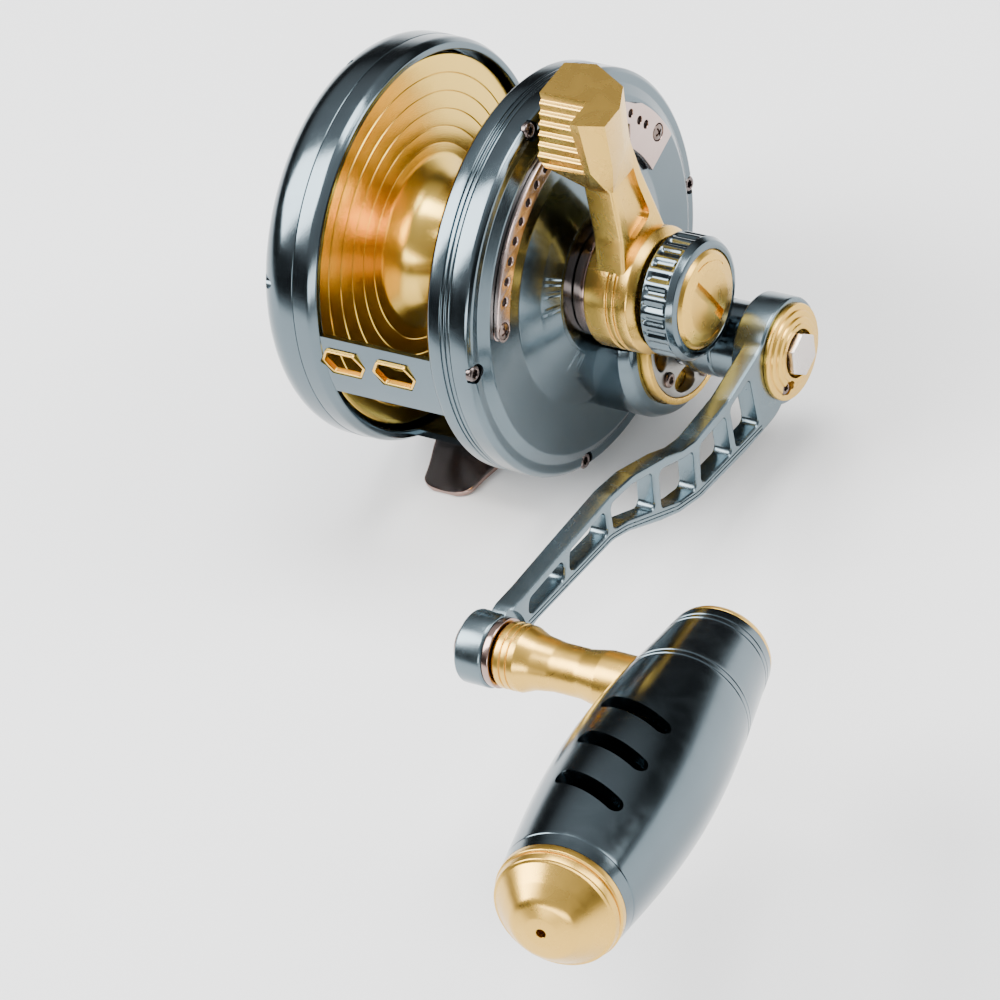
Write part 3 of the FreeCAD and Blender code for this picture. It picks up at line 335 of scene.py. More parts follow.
def metal(name, base, tint, roughness, drift=0.35, smudge=0.06, marks=0.0, grain=0.02):
    """Polished or satin anodised metal. marks is the depth of lathe marks about the spool axis."""
    material = bpy.data.materials.new(name)
    nodes, links, shader = nodes_of(material)
    relief = 0.0002
    shader.inputs["Metallic"].default_value = 1.0
    place = nodes.new("ShaderNodeTexCoord")
    finish = nodes.new("ShaderNodeGroup")
    finish.node_tree = anodised_finish
    finish.inputs["Base"].default_value = (*base, 1)
    finish.inputs["Tint"].default_value = (*tint, 1)
    finish.inputs["Roughness"].default_value = roughness
    finish.inputs["Drift"].default_value = drift
    finish.inputs["Smudge"].default_value = smudge
    links.new(place.outputs["Object"], finish.inputs["Vector"])
    links.new(finish.outputs["Color"], shader.inputs["Base Color"])
    links.new(finish.outputs["Rough"], shader.inputs["Roughness"])
    pores = nodes.new("ShaderNodeBump")
    pores.inputs["Strength"].default_value = grain
    pores.inputs["Distance"].default_value = relief
    links.new(finish.outputs["Height"], pores.inputs["Height"])
    if marks:
        mapping = nodes.new("ShaderNodeMapping")
        mapping.inputs["Location"].default_value = (0, -axis_y, -axis_height)
        links.new(place.outputs["Object"], mapping.inputs["Vector"])
        lathe_marks = nodes.new("ShaderNodeGroup")
        lathe_marks.node_tree = turning_marks
        links.new(mapping.outputs[0], lathe_marks.inputs["Vector"])
        rings = nodes.new("ShaderNodeBump")
        rings.inputs["Strength"].default_value = marks
        rings.inputs["Distance"].default_value = relief
        links.new(lathe_marks.outputs["Height"], rings.inputs["Height"])
        links.new(pores.outputs["Normal"], rings.inputs["Normal"])
        links.new(rings.outputs["Normal"], shader.inputs["Normal"])
    else:
        links.new(pores.outputs["Normal"], shader.inputs["Normal"])
    return material


def finish_piece(piece, material, body, slot, *nodes):
    """Puts the finish on a piece, ties it to its moving body and hides the plain solids it stands for."""
    piece.data.materials.clear()
    piece.data.materials.append(material)
    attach(piece, body)
    if nodes:
        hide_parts(*nodes)


gunmetal = metal("gunmetal_polished", (0.105, 0.135, 0.152), (0.18, 0.235, 0.265), 0.15, marks=0.02)
spool_axis = about(0, axis_y / mm, axis_height / mm)
plate_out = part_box("left_side_plate")[0].x / mm
shell = [(plate_out + 0.03, 4.42), (plate_out + 0.03, 12.8), (plate_out + 0.7, 15.0), (plate_out + 0.1, 28.0)]
for turn in np.radians(np.linspace(8, 88, 24)):
    shell.append((plate_out + 6.9 - 6.85 * np.cos(turn), 30.0 + 8.42 * np.sin(turn) ** 0.94))
shell += [(-9.03, 38.45), (-9.03, 35.7), (-13.0, 35.2), (-15.2, 31.0), (-15.6, 28.0), (-15.6, 6.2),
          (-8.6, 6.2), (-8.6, 4.42)]
corner = [0.3, 1.0, 2.0, 3.0] + [0.0] * 24 + [0.12, 0.2, 1.5, 2.0, 1.0, 0.4, 0.3, 0.2]
left_plate = lathe("left_side_plate_turned", hoop(shell, corner, 7), spool_axis)
screw_circle = 37.1
left_screw_circle = 36.6
left_screws = (150, 78, 6, -66, -138)
for angle in left_screws:
    y, z = polar(left_screw_circle, angle)
    combine(left_plate, drum(plate_out - 1, plate_out + 5.35, 1.32, spool_axis @ about(0, y, z)))
finish_piece(left_plate, gunmetal, "reel_body", "gunmetal_plate", "left_side_plate")
soften(left_plate, 0.2)

# ---- frame -----------------------------------------------------------------------------
# The frame is milled from one aluminium billet: two rings joined by a rear bar with two
# six-sided windows, a front bar and a thick base that carries the foot.
ring_bore = 36.2
left_ring = lathe("frame_milled", hoop(
    [(-8.99, ring_bore), (-8.99, 38.39), (-5.6, 38.35), (-4.2, 37.5), (-4.2, ring_bore)],
    [0.2, 0.12, 2.4, 0.6, 0.3], 9), spool_axis)
right_ring = lathe("right_ring", hoop(
    [(20.2, ring_bore), (20.2, 37.8), (20.9, 38.38), (23.3, 38.38), (23.4, 38.05), (23.7, 38.05),
     (23.8, 38.38), (24.3, 38.38), (24.4, 38.05), (24.7, 38.05), (24.8, 38.38), (25.37, 38.38),
     (25.37, ring_bore)],
    [0.3, 0.4, 0.5, 0.1, 0.1, 0.1, 0.1, 0.1, 0.1, 0.1, 0.1, 0.15, 0.2], 5), spool_axis)
combine(left_ring, right_ring, "UNION")
for start, stop, steps in ((163, 183, 40), (-32, -12, 30), (-128, -52, 90)):
    bar = lathe("bar", hoop([(-5.0, ring_bore + 0.02), (-5.0, 37.4), (21.0, 37.4), (21.0, ring_bore + 0.02)],
                            0.01, 3), spool_axis, steps, sweep=(start, stop))
    combine(left_ring, bar, "UNION")
base_low, base_high = -38.45, -33.0


def block(name, low, high, place):
    """Box between two corners, used as a cutter or as the start of a milled piece."""
    corners = [(x, y, z) for x in (low[0], high[0]) for y in (low[1], high[1]) for z in (low[2], high[2])]
    faces = [(0, 1, 3, 2), (4, 6, 7, 5), (0, 4, 5, 1), (2, 3, 7, 6), (0, 2, 6, 4), (1, 5, 7, 3)]
    piece = add_piece(name, placed(corners, place), faces)
    tidy_mesh(piece)
    return piece


base = block("base", (-8.8, -14, base_low), (21.3, 14, base_high), spool_axis)
combine(base, drum(-12, 26, ring_bore + 0.03, spool_axis, steps=192))
combine(left_ring, base, "UNION")
for y in (-11.6, -8.4):
    combine(left_ring, block("slot", (-2.5, y - 0.5, base_low + 1), (0.5, y + 0.5, base_low + 9), spool_axis))
window_height = 5.85
hexagon = [(-4.9, 0), (-3.2, 2.9), (3.2, 2.9), (4.9, 0), (3.2, -2.9), (-3.2, -2.9)]
liners = []
gold = metal("gold_anodised", (0.72, 0.425, 0.075), (0.84, 0.56, 0.14), 0.27, marks=0.02)
for x in (-0.05, 11.17):
    def window_place(u, v, w, x=x):
        """Window outline in X and Z, its depth along -Y."""
        return np.stack([u + x, -w, v + axis_height / mm + window_height], -1)
    outline = rounded(hexagon, 0.5, True, 5)
    combine(left_ring, plate_outline("window", [outline], 32, 41, 0.01, window_place))
    rim = plate_outline("frame_window_rim", [outline * 0.985, outline * 0.86], 35.95, 37.1, 0.12,
                        window_place)
    liners.append(rim)
finish_piece(left_ring, gunmetal, "reel_body", "gunmetal_frame", "frame")
soften(left_ring, 0.25)
for index, rim in enumerate(liners):
    rim.name = "frame_window_rim_%d" % index
    finish_piece(rim, gold, "reel_body", "gold_anodised")

# ---- reel foot -------------------------------------------------------------------------
# Bronze-coloured polished steel foot, screwed up into the base from below. Its two blades
# are hollowed a little and thin towards their rounded tips, to slide into a rod's seat.
bronze = metal("bronze_steel", (0.34, 0.235, 0.205), (0.46, 0.32, 0.27), 0.16, smudge=0.05)
foot_half = 26.0
rows, columns = 161, 61
along = np.linspace(-1, 1, rows)[:, None]
across = np.linspace(-1, 1, columns)[None, :]


def foot_surface():
    """Foot: s runs along it and t across it. Half width is 8.5 to |y| = 13 and eases to 5.2 at the tips,
    whose ends are rounded off; the top falls from 3 mm to a thin blade dished by 0.5 (1 - t squared)."""
    y = foot_half * along + 0 * across
    reach = np.clip((np.abs(y) - 13) / (foot_half - 13), 0, 1)
    half = 8.45 - 3.0 * np.sin(reach * np.pi / 2) ** 1.6
    end = np.clip((np.abs(y) - foot_half + 3.0) / 3.0, 0, 1)
    half = half * np.sqrt(np.clip(1 - 0.72 * end ** 3, 0, 1))
    x = half * across
    rise = np.clip((15.5 - np.abs(y)) / 3.5, 0, 1)
    blend = rise * rise * (3 - 2 * rise)
    blade = 1.6 - 0.42 * reach - 0.45 * reach ** 0.5 * (1 - across ** 2)
    top = blade + (2.97 - blade) * blend
    roll = 0.28 * np.clip((np.abs(across) - 0.93) / 0.07, 0, 1) ** 2
    return x, y, top - roll, roll + 0 * y


x, y, top, roll = foot_surface()
upper = np.stack([x, y, top], -1).reshape(-1, 3)
lower = np.stack([x, y, roll], -1).reshape(-1, 3)
row, col = np.meshgrid(np.arange(rows - 1), np.arange(columns - 1), indexing="ij")
patch = np.stack([row * columns + col, (row + 1) * columns + col, (row + 1) * columns + col + 1,
                  row * columns + col + 1], -1).reshape(-1, 4)
count = rows * columns
rim_index = np.concatenate([np.arange(columns), np.arange(1, rows) * columns + columns - 1,
                            (rows - 1) * columns + np.arange(columns - 2, -1, -1),
                            np.arange(rows - 2, 0, -1) * columns])
after = np.roll(rim_index, -1)
wall = np.stack([rim_index, after, after + count, rim_index + count], -1)
foot = add_piece("reel_foot_blades", np.concatenate([upper, lower]) * mm,
                 patch.tolist() + (patch[:, ::-1] + count).tolist() + wall.tolist())
tidy_mesh(foot)
foot_holes = [(x, y) for x in (-5.2, 5.2) for y in (-9.0, 9.0)]
for x, y in foot_holes:
    combine(foot, drum(-1, 1.35, 1.95, about(x, y, 0, (0, 0, 1))))
    combine(foot, drum(-1, 5, 1.1, about(x, y, 0, (0, 0, 1))))
finish_piece(foot, bronze, "reel_body", "bronze_foot", "reel_foot")

# ---- rim screws ------------------------------------------------------------------------
# Small stainless screws with six-lobed sockets sit in counterbores round both side plates,
# five to a side, and four more hold the foot from below.
# Painted shade: the screws' dark colour stands in for the shade of the rim notches they sit in, not for oil
# on them.
steel = metal("screw_painted_notch_shade", (0.13, 0.105, 0.1), (0.26, 0.2, 0.18), 0.24, smudge=0.1)


def lobed_screw(name, places, head, height, length):
    """Screws as one mesh: a rolled head whose socket radius is r (1 + 0.14 cos 6a), on a shank."""
    socket = head * 0.5
    section = np.concatenate([[(height - 0.75 * height, 0.0)], rounded(
        [(height * 0.25, 0.0), (height * 0.25, socket * 0.92), (height * 0.9, socket), (height, socket * 1.2),
         (height, head * 0.8), (height * 0.72, head), (0, head), (0, head * 0.45), (-length, head * 0.43),
         (-length, 0)], [0, 0.05, 0.05, 0.08, 0.15, 0.25, 0.02, 0.02, 0.1, 0], 4)])

    def lobes(x, r, turn):
        """Radius of the socket wall."""
        inside = (r < socket * 1.02) & (x > height * 0.2)
        return r * (1 + 0.14 * np.cos(6 * turn) * inside)
    screws = [lathe(name, section, place, 48, lobes) for place in places]
    joined = bmesh.new()
    for item in screws:
        joined.from_mesh(item.data)
        if item is not screws[0]:
            bpy.data.objects.remove(item)
    joined.to_mesh(screws[0].data)
    joined.free()
    smooth(screws[0])
    return screws[0]


right_screws = (164, 90, -18, -118, -60)
places = [spool_axis @ about(28.52, *polar(screw_circle, angle)) for angle in right_screws]
rim_screws = lobed_screw("right_rim_screws", places, 1.58, 1.1, 6.5)
finish_piece(rim_screws, steel, "reel_body", "steel_screws", "right_plate_screws")
seat = plate_out + 5.4
places = [spool_axis @ about(seat, *polar(left_screw_circle, angle), direction=(-1, 0, 0))
          for angle in left_screws]
rim_screws = lobed_screw("left_rim_screws", places, 1.2, 1.0, 7.0)
finish_piece(rim_screws, steel, "reel_body", "steel_screws", "left_plate_screws")
places = [about(x, y, 1.3, (0, 0, -1)) for x, y in foot_holes]
foot_fixings = lobed_screw("foot_fixing_screws", places, 1.75, 1.05, 3.3)
finish_piece(foot_fixings, steel, "reel_body", "steel_screws", "foot_screws")

# ---- right side plate ------------------------------------------------------------------
# The handle-side plate is turned from aluminium: a low dome inside a rounded rim, a round
# gearbox bulge milled on it below, and a hollow stub that carries the drag lever.
drive_y, drive_z = 7.1, -18.64
drive_axis = spool_axis @ about(0, drive_y, drive_z)
right_plate = lathe("right_side_plate_turned", hoop(
    [(25.43, 38.39), (29.0, 38.39), (29.8, 37.5), (29.8, 35.8), (31.0, 33.7), (31.0, 24.2), (32.3, 18.8),
     (33.8, 13.8), (33.8, 8.38), (43.6, 8.38), (43.6, 6.62), (32.5, 6.62), (32.5, 6.2), (31.8, 6.2),
     (31.8, 15.8), (30.2, 19.0), (29.0, 24.4), (29.0, 32.0), (27.2, 35.6), (25.43, 35.6)],
    [0.15, 0.9, 0.9, 0.5, 0.9, 2.5, 5.0, 0.9, 0.3, 0.4, 0.2, 0.05, 0.05, 0.1, 1.0, 2.0, 2.0, 2.0, 1.0, 0.1],
    6), spool_axis)
combine(right_plate, drum(24, 32.7, 16.0, drive_axis, steps=128))
floor_ring = lathe("hub_floor", hoop([(31.8, 6.2), (31.8, 14.4), (33.7, 14.4), (33.7, 6.2)], 0.02, 3),
                   spool_axis)
combine(right_plate, floor_ring, "UNION")
bulge = lathe("gearbox", hoop(
    [(30.6, 16.0), (30.6, 17.48), (38.4, 17.48), (40.5, 16.6), (41.0, 15.2), (41.0, 14.42), (39.6, 14.42),
     (39.6, 6.5), (32.7, 6.5), (32.7, 16.0)],
    [0.02, 0.02, 1.6, 1.2, 0.4, 0.15, 0.1, 0.1, 0.1, 0.02], 8), drive_axis)
combine(bulge, drum(25, 44, 12.8, spool_axis, steps=160))
combine(right_plate, bulge, "UNION")
for angle in right_screws:
    combine(right_plate, drum(28.48, 32, 1.9, spool_axis @ about(0, *polar(screw_circle, angle))))
finish_piece(right_plate, gunmetal, "reel_body", "gunmetal_plate", "right_side_plate")
soften(right_plate, 0.22)

# ---- quadrant plate --------------------------------------------------------------------
# A thin bronze-coloured steel arc screwed on the dome, drilled with the row of detent
# holes that the lever clicks over. It widens into a fan at its forward end.
quadrant_radius = 30.5


def arc(radius, start, stop, steps=60):
    """Points (y, z) along an arc about the spool axis."""
    turn = np.radians(np.linspace(start, stop, steps))
    return np.stack([radius * np.cos(turn), radius * np.sin(turn)], -1)


def disc(radius, centre, steps=28):
    """Round hole outline."""
    return arc(radius, 0, 360, steps + 1)[:-1] + np.array(centre)


def axial(u, v, w):
    """Outline in Y and Z about the spool axis, its depth along X."""
    return np.stack([w, u, v + axis_height / mm], -1)


outer = np.concatenate([
    arc(quadrant_radius + 2.5, 9, 33, 24), arc(quadrant_radius + 1.95, 37, 152, 90),
    arc(1.95, 154, 330, 14)[1:-1] + np.array(polar(quadrant_radius, 153.5)),
    arc(quadrant_radius - 1.95, 152, 37, 90), arc(quadrant_radius - 6.0, 33, 9, 24)])
holes = [disc(0.82, polar(quadrant_radius, 84 + 7 * (step + 0.5)), 24) for step in range(-7, 9)]
holes += [disc(0.82, polar(quadrant_radius - 0.6, angle), 24) for angle in (31.5, 26.5)]
holes += [disc(1.75, polar(quadrant_radius, angle), 32) for angle in (154, 17)]
quadrant = plate_outline("quadrant_arc", [outer] + holes, 31.05, 32.08, 0.16, axial)
rosy_steel = metal("rosy_steel", (0.5, 0.37, 0.33), (0.6, 0.46, 0.42), 0.22, smudge=0.08)
finish_piece(quadrant, rosy_steel, "reel_body", "bronze_steel", "quadrant_plate")


def cross_screw(name, place, head):
    """Domed screw head with a crossed slot."""
    piece = lathe(name, rounded([(-2.4, 0), (-2.4, 0.75), (0, 0.75), (0, head), (0.45, head), (0.88, 0)],
                                [0, 0.1, 0.02, 0.05, 0.3, 0], 5), place, 48)
    for low, high in (((0.35, -head * 0.62, -0.24), (2, head * 0.62, 0.24)),
                      ((0.35, -0.24, -head * 0.62), (2, 0.24, head * 0.62))):
        combine(piece, block("slot", low, high, place))
    return piece


dark_steel = metal("oiled_steel", (0.16, 0.12, 0.105), (0.3, 0.22, 0.19), 0.24, smudge=0.1)
screws = [cross_screw("quadrant_screw", spool_axis @ about(31.55, *polar(quadrant_radius, angle)), 1.6)
          for angle in (154, 17)]
combine(screws[0], screws[1], "UNION")
finish_piece(screws[0], dark_steel, "reel_body", "steel_screws", "quadrant_screws")

# ---- gear cover ------------------------------------------------------------------------
# The gearbox is closed by a gold anodised ring pressed into its face, with a satin grey
# five-armed web over it. Screws with six-lobed sockets hold the web down.
hub_clear = drum(38, 46, 12.8, spool_axis, steps=160)
cover_ring = lathe("gear_cover_ring_turned", hoop(
    [(39.63, 6.55), (39.63, 14.35), (42.88, 14.35), (42.88, 13.05), (40.6, 13.05), (40.6, 6.55)],
    [0.1, 0.1, 0.35, 0.25, 0.2, 0.1]), drive_axis)
combine(cover_ring, drum(38, 46, 12.8, spool_axis, steps=160))
finish_piece(cover_ring, gold, "reel_body", "gold_anodised", "gear_cover_ring")
soften(cover_ring, 0.15)
web_shift = np.array((drive_y, drive_z))
petals = []
for step in range(5):
    middle = 72 * step - 54
    turn = np.radians(np.linspace(0, 360, 40, endpoint=False))
    reach = 9.6 + 2.45 * np.cos(turn)
    spread = np.degrees(3.3 / 9.6) * np.sin(turn) * (1 + 0.25 * np.cos(turn))
    petals.append(np.stack(polar(reach, middle + spread), -1) + web_shift)
web = plate_outline("gear_cover_web", [disc(12.95, web_shift, 120)] + petals
                    + [disc(6.52, web_shift, 64)], 40.62, 42.86, 0.25, axial)
combine(web, hub_clear)
grey_web = metal("satin_grey", (0.3, 0.29, 0.27), (0.42, 0.4, 0.37), 0.34, smudge=0.05, grain=0.08)
finish_piece(web, grey_web, "reel_body", "grey_web", "gear_cover")
spots = [polar(10.6, 72 * step - 18) for step in range(5)]
spots = [(drive_y + y, drive_z + z) for y, z in spots]
places = [spool_axis @ about(42.88, y, z) for y, z in spots if np.hypot(y, z) > 14.6]
cover_screws = lobed_screw("cover_screws", places, 1.5, 0.7, 3.1)
finish_piece(cover_screws, dark_steel, "reel_body", "steel_screws", "gear_cover_screws")

# ---- spool -----------------------------------------------------------------------------
# Gold anodised aluminium spool, turned and polished. Its flanges are shallow dishes with
# fine rings cut at even steps, and the arbor between them is a smooth waisted hub.
flange = [(-7.86, 8.03), (-7.86, 33.0), (-7.88, 35.28), (-5.92, 35.28), (-5.82, 34.4)]
for radius in (31.6, 28.2, 24.9, 21.7, 18.6):
    level = -5.85 + (34.4 - radius) * 0.082
    flange += [(level, radius + 0.16), (level - 0.14, radius), (level, radius - 0.16)]
flange += [(-4.3, 16.4), (-1.6, 12.6), (4.0, 11.22), (9.0, 11.2), (13.5, 11.5),
           (17.4, 13.4), (19.0, 17.5), (19.75, 35.28), (21.78, 35.28), (21.78, 8.03),
           (17.8, 8.03), (17.8, 4.72), (-3.9, 4.72), (-3.9, 8.03)]
corner = [0.2, 0.2, 0.4, 0.4, 0.2] + [0.03, 0.02, 0.03] * 5 + [2.2, 7, 20, 9, 9, 6, 5, 0.4, 0.2] \
    + [0.2] * 5
spool = lathe("spool_turned", hoop(flange, corner, 6), spool_axis, 256)
spool_gold = metal("gold_spool", (0.74, 0.47, 0.085), (0.86, 0.6, 0.14), 0.24, marks=0.03, smudge=0.03)
finish_piece(spool, spool_gold, "spool_body", "gold_spool", "spool")

# ---- drag lever ------------------------------------------------------------------------
# The lever is milled from gold anodised aluminium: a grooved hub on the stub, a webbed arm
# and a faceted thumb pad, whose rear flank is cut with a stack of grip ridges.
lever_gold = metal("gold_lever", (0.72, 0.43, 0.085), (0.84, 0.56, 0.15), 0.26, smudge=0.05, grain=0.05)
lever_turn = 84.0
hub_in, hub_out = 36.65, 47.25
collar = lathe("lever_collar_turned",
               hoop([(33.92, 8.42), (33.92, 10.75), (36.28, 10.75), (36.28, 8.42)], 0.25), spool_axis)
finish_piece(collar, bronze, "reel_body", "bronze_steel", "lever_collar")
hub = lathe("drag_lever_milled", hoop(
    [(hub_in, 8.47), (hub_in, 11.5), (hub_in + 0.5, 11.98), (hub_in + 4.9, 11.98), (hub_in + 5.05, 11.6),
     (hub_in + 5.5, 11.6), (hub_in + 5.65, 11.98), (hub_in + 6.5, 11.98), (hub_in + 6.65, 11.6),
     (hub_in + 7.1, 11.6), (hub_in + 7.25, 11.98), (hub_out - 1.2, 11.98), (hub_out, 10.5), (hub_out, 2.9),
     (44.1, 2.9), (44.1, 8.47)],
    [0.2, 0.3, 0.3, 0.15, 0.1, 0.1, 0.15, 0.15, 0.1, 0.1, 0.15, 0.5, 0.5, 0.1, 0.1, 0.1], 5), spool_axis)


def on_lever(along, rearward):
    """Y and Z of a point on the lever, from its distance along the lever and its offset rearward."""
    start, aside = np.array(polar(1, lever_turn)), np.array(polar(1, lever_turn + 90))
    return np.multiply.outer(along, start) + np.multiply.outer(rearward, aside)


shape = np.array([(9.0, 7.6), (16.0, 5.6), (26.0, 4.8), (33.0, 4.8), (33.0, -4.2), (24.0, -5.0), (15.0, -6.6),
                  (9.0, -7.6)])
web_shape = np.array([(13.5, 3.6), (20.0, 2.9), (30.0, 2.6), (30.0, -2.6), (22.0, -3.0), (14.5, -4.2)])
arm_line = rounded(on_lever(shape[:, 0], shape[:, 1]), [0, 8, 4, 0, 0, 8, 8, 0], True, 9)
arm = plate_outline("lever_arm", [arm_line], 38.7, 45.0, 0.7, axial, 4)
web_line = rounded(on_lever(web_shape[:, 0], web_shape[:, 1]), 1.4, True, 6)
web_cut = plate_outline("web", [web_line], 43.9, 47.0, 0.01, axial)
combine(arm, web_cut)
combine(hub, arm, "UNION")
front = 32.47
sections = [
    (45.0, [(0, -6.8), (6.2, -8.0), (14.4, -3.6), (17.0, 2.0), (17.0, 7.4), (12.0, 8.6), (1.0, 8.4),
            (0, 7.4)]),
    (33.5, [(0, -5.8), (6.2, -6.6), (13.0, -3.4), (14.8, 1.6), (14.8, 5.6), (11.6, 8.2), (1.0, 8.4),
            (0, 7.4)]),
    (26.5, [(6.2, -4.2), (8.2, -4.2), (11.9, -4.2), (12.5, -3.0), (12.5, 4.4), (11.9, 5.0), (8.2, 5.0),
            (6.2, 4.6)])]
points = []
for height, outline in sections:
    outline = np.array(outline)
    yz = on_lever(np.full(8, height), outline[:, 1])
    points.append(np.column_stack([outline[:, 0] + front, yz]))
quads = [(k * 8 + i, k * 8 + (i + 1) % 8, (k + 1) * 8 + (i + 1) % 8, (k + 1) * 8 + i)
         for k in range(2) for i in range(8)]
pad = add_piece("pad", placed(np.concatenate(points), spool_axis),
                quads + [tuple(range(7, -1, -1)), tuple(range(16, 24))])
tidy_mesh(pad)
stairs = [(2.2, -2.0)]
for step in range(7):
    side, depth = 2.2 + 0.86 * step, 1.75 * step
    stairs += [(side - 0.12, depth + 0.2), (side - 0.12, depth + 1.5), (side + 0.55, depth + 1.75)]
stairs += [(16.0, 12.25), (16.0, -2.0)]
stairs = np.array(stairs)
stair_line = rounded(on_lever(45.0 - stairs[:, 1], stairs[:, 0]), 0.22, True, 4)
combine(pad, plate_outline("stairs", [stair_line], front - 2, front + 10.2, 0.01, axial))
combine(hub, pad, "UNION")
finish_piece(hub, lever_gold, "lever_body", "gold_lever", "drag_lever")
soften(hub, 0.28, 24)

# ---- preset knob -----------------------------------------------------------------------
# A fluted aluminium knob on the end of the shaft sets the drag's starting pressure. A
# domed gold disc with a broad screwdriver slot closes its face.
flutes = 26


def fluted(x, r, turn):
    """Knob radius: inside the band x = 49.3 to 54.2 it drops by 0.5 times a rounded flute wave."""
    wave = np.clip(0.5 - 0.5 * np.cos(flutes * turn), 0, 1) ** 1.3
    ends = np.clip((x - 49.3) / 0.7, 0, 1) * np.clip((54.2 - x) / 0.7, 0, 1)
    return r - 0.5 * wave * np.sqrt(ends) * (r > 10.9)


knob_line = [(48.37, 8.0), (48.37, 10.6)] + [(x, 11.58) for x in np.linspace(49.0, 54.3, 28)] \
    + [(55.4, 10.9), (55.72, 10.2), (55.72, 9.45), (54.4, 9.45), (54.4, 2.58), (50.6, 2.58), (50.6, 6.6),
       (48.37, 6.6)]
knob = lathe("preset_knob_fluted", hoop(knob_line, [0.2, 0.5] + [0.25] + [0] * 26 + [0.5] + [0.3, 0.2, 0.15]
                                        + [0.05] * 5, 5), spool_axis, 416, fluted)
finish_piece(knob, gunmetal, "preset_body", "gunmetal_knob", "preset_knob")
face = lathe("preset_disc_domed", rounded(
    [(54.45, 0), (54.45, 9.36), (55.5, 9.36), (56.15, 8.6), (56.55, 6.2), (56.8, 0)],
    [0, 0.1, 0.2, 0.6, 3.0, 0], 8), spool_axis)
slot_place = spool_axis @ Matrix.Rotation(np.radians(19), 4, "X")
combine(face, block("slot", (55.75, -0.95, -6.0), (60, 0.95, 6.0), slot_place))
for start in (20, 200):
    mark = lathe("mark", hoop([(56.2, 7.35), (56.2, 7.6), (57, 7.6), (57, 7.35)], 0.01, 3), spool_axis, 40,
                 sweep=(start, start + 70))
    combine(face, mark)
finish_piece(face, gold, "preset_body", "gold_anodised", "preset_disc")
soften(face, 0.1)

# ---- handle arm ------------------------------------------------------------------------
# The crank arm is one milled aluminium bar with a gentle bend and six open windows, a
# double line cut along its lower edge, and round bosses at the shaft and at the knob.
arm_turn = 166.6
arm_in, arm_out = 58.0, 64.4
satin = metal("gunmetal_satin", (0.13, 0.17, 0.19), (0.2, 0.255, 0.285), 0.24, grain=0.06)


def on_arm(points):
    """Y and Z of points given along the arm from the drive shaft and up across it."""
    points = np.asarray(points, dtype=float)
    along, up = np.array(polar(1, arm_turn)), np.array(polar(1, arm_turn - 90))
    return np.outer(points[:, 0], along) + np.outer(points[:, 1], up) + (drive_y, drive_z)


sleeve = lathe("handle_sleeve_turned", hoop(
    [(43.27, 3.55), (43.27, 5.9), (44.5, 6.9), (46.3, 7.46), (51.2, 7.46), (51.45, 7.15), (51.85, 7.15),
     (52.1, 7.46), (57.5, 7.46), (57.97, 7.0), (57.97, 3.55)],
    [0.2, 0.5, 1.0, 1.0, 0.1, 0.1, 0.1, 0.1, 0.3, 0.2, 0.1]), drive_axis)
finish_piece(sleeve, gunmetal, "crank_body", "gunmetal_knob", "handle_sleeve")
rim_points = [(0.0, 9.7), (10.0, 5.6), (21.0, 2.6), (33.0, 1.6), (37.5, 2.4), (43.0, 4.6), (53.0, 7.4),
              (60.0, 8.0), (75.0, 7.2), (88.0, 6.4), (97.0, 6.3), (97.0, -4.0), (88.0, -0.6), (62.0, -0.8),
              (57.0, -2.2), (47.0, -6.6), (41.0, -8.8), (34.0, -10.2), (18.0, -10.6), (0.0, -9.7)]
windows = [[(12.6, -8.0), (13.2, 2.6), (20.8, 0.7), (20.8, -8.1)],
           [(22.4, -8.1), (22.4, 0.3), (31.8, -0.2), (33.2, -7.9)],
           [(35.0, -7.7), (33.8, 0.0), (37.0, 0.5), (45.2, 3.2), (46.2, -4.4), (40.4, -6.8)],
           [(48.2, -3.4), (47.2, 4.1), (54.0, 5.9), (61.0, 6.3), (61.2, 1.1), (56.8, 0.0)],
           [(63.0, 1.4), (62.8, 6.3), (74.8, 5.6), (76.0, 1.6)],
           [(77.8, 1.6), (76.6, 5.4), (88.4, 4.7), (89.6, 1.7)]]
outlines = [rounded(on_arm(rim_points), 9, True, 12)]
outlines += [rounded(on_arm(window), 1.3, True, 8) for window in windows]
bar = plate_outline("handle_arm_milled", outlines, arm_in + 2.4, arm_out - 0.02, 0.5, axial, 5)
inner, outer = arm_in + 0.02, arm_out - 0.02
head = lathe("head", rounded([(inner, 0), (inner, 10.15), (outer, 10.15), (outer, 0)], [0, 0.6, 0.6, 0], 8),
             drive_axis)
combine(bar, head, "UNION")
knob_y, knob_z = on_arm([(98.2, 0.0)])[0]
stem_axis = spool_axis @ about(0, knob_y, knob_z)
combine(bar, drum(arm_out - 0.8, arm_out + 1, 7.5, stem_axis, steps=96))
outer = arm_out - 0.82
boss = lathe("boss", rounded([(inner, 0), (inner, 6.58), (outer, 6.58), (outer, 0)], [0, 0.6, 0.5, 0], 8),
             stem_axis, 128)
combine(bar, boss, "UNION")
for shift in (-0.36, 0.36):
    path = rounded([(12.0, -9.1), (34.5, -8.8), (41.6, -7.3), (57.4, -0.85), (62.4, 0.45), (90.0, 0.6)],
                   6, False, 12) + (0, shift)
    line = np.concatenate([path + (0, 0.13), path[::-1] - (0, 0.13)])
    combine(bar, plate_outline("line", [on_arm(line)], arm_out - 0.3, arm_out + 1, 0.01, axial))
combine(bar, drum(arm_in - 1, arm_out + 1, 3.02, stem_axis))
combine(bar, drum(arm_in - 1, arm_out + 1, 3.5, drive_axis))
finish_piece(bar, satin, "crank_body", "gunmetal_arm", "handle_arm")
soften(bar, 0.12)
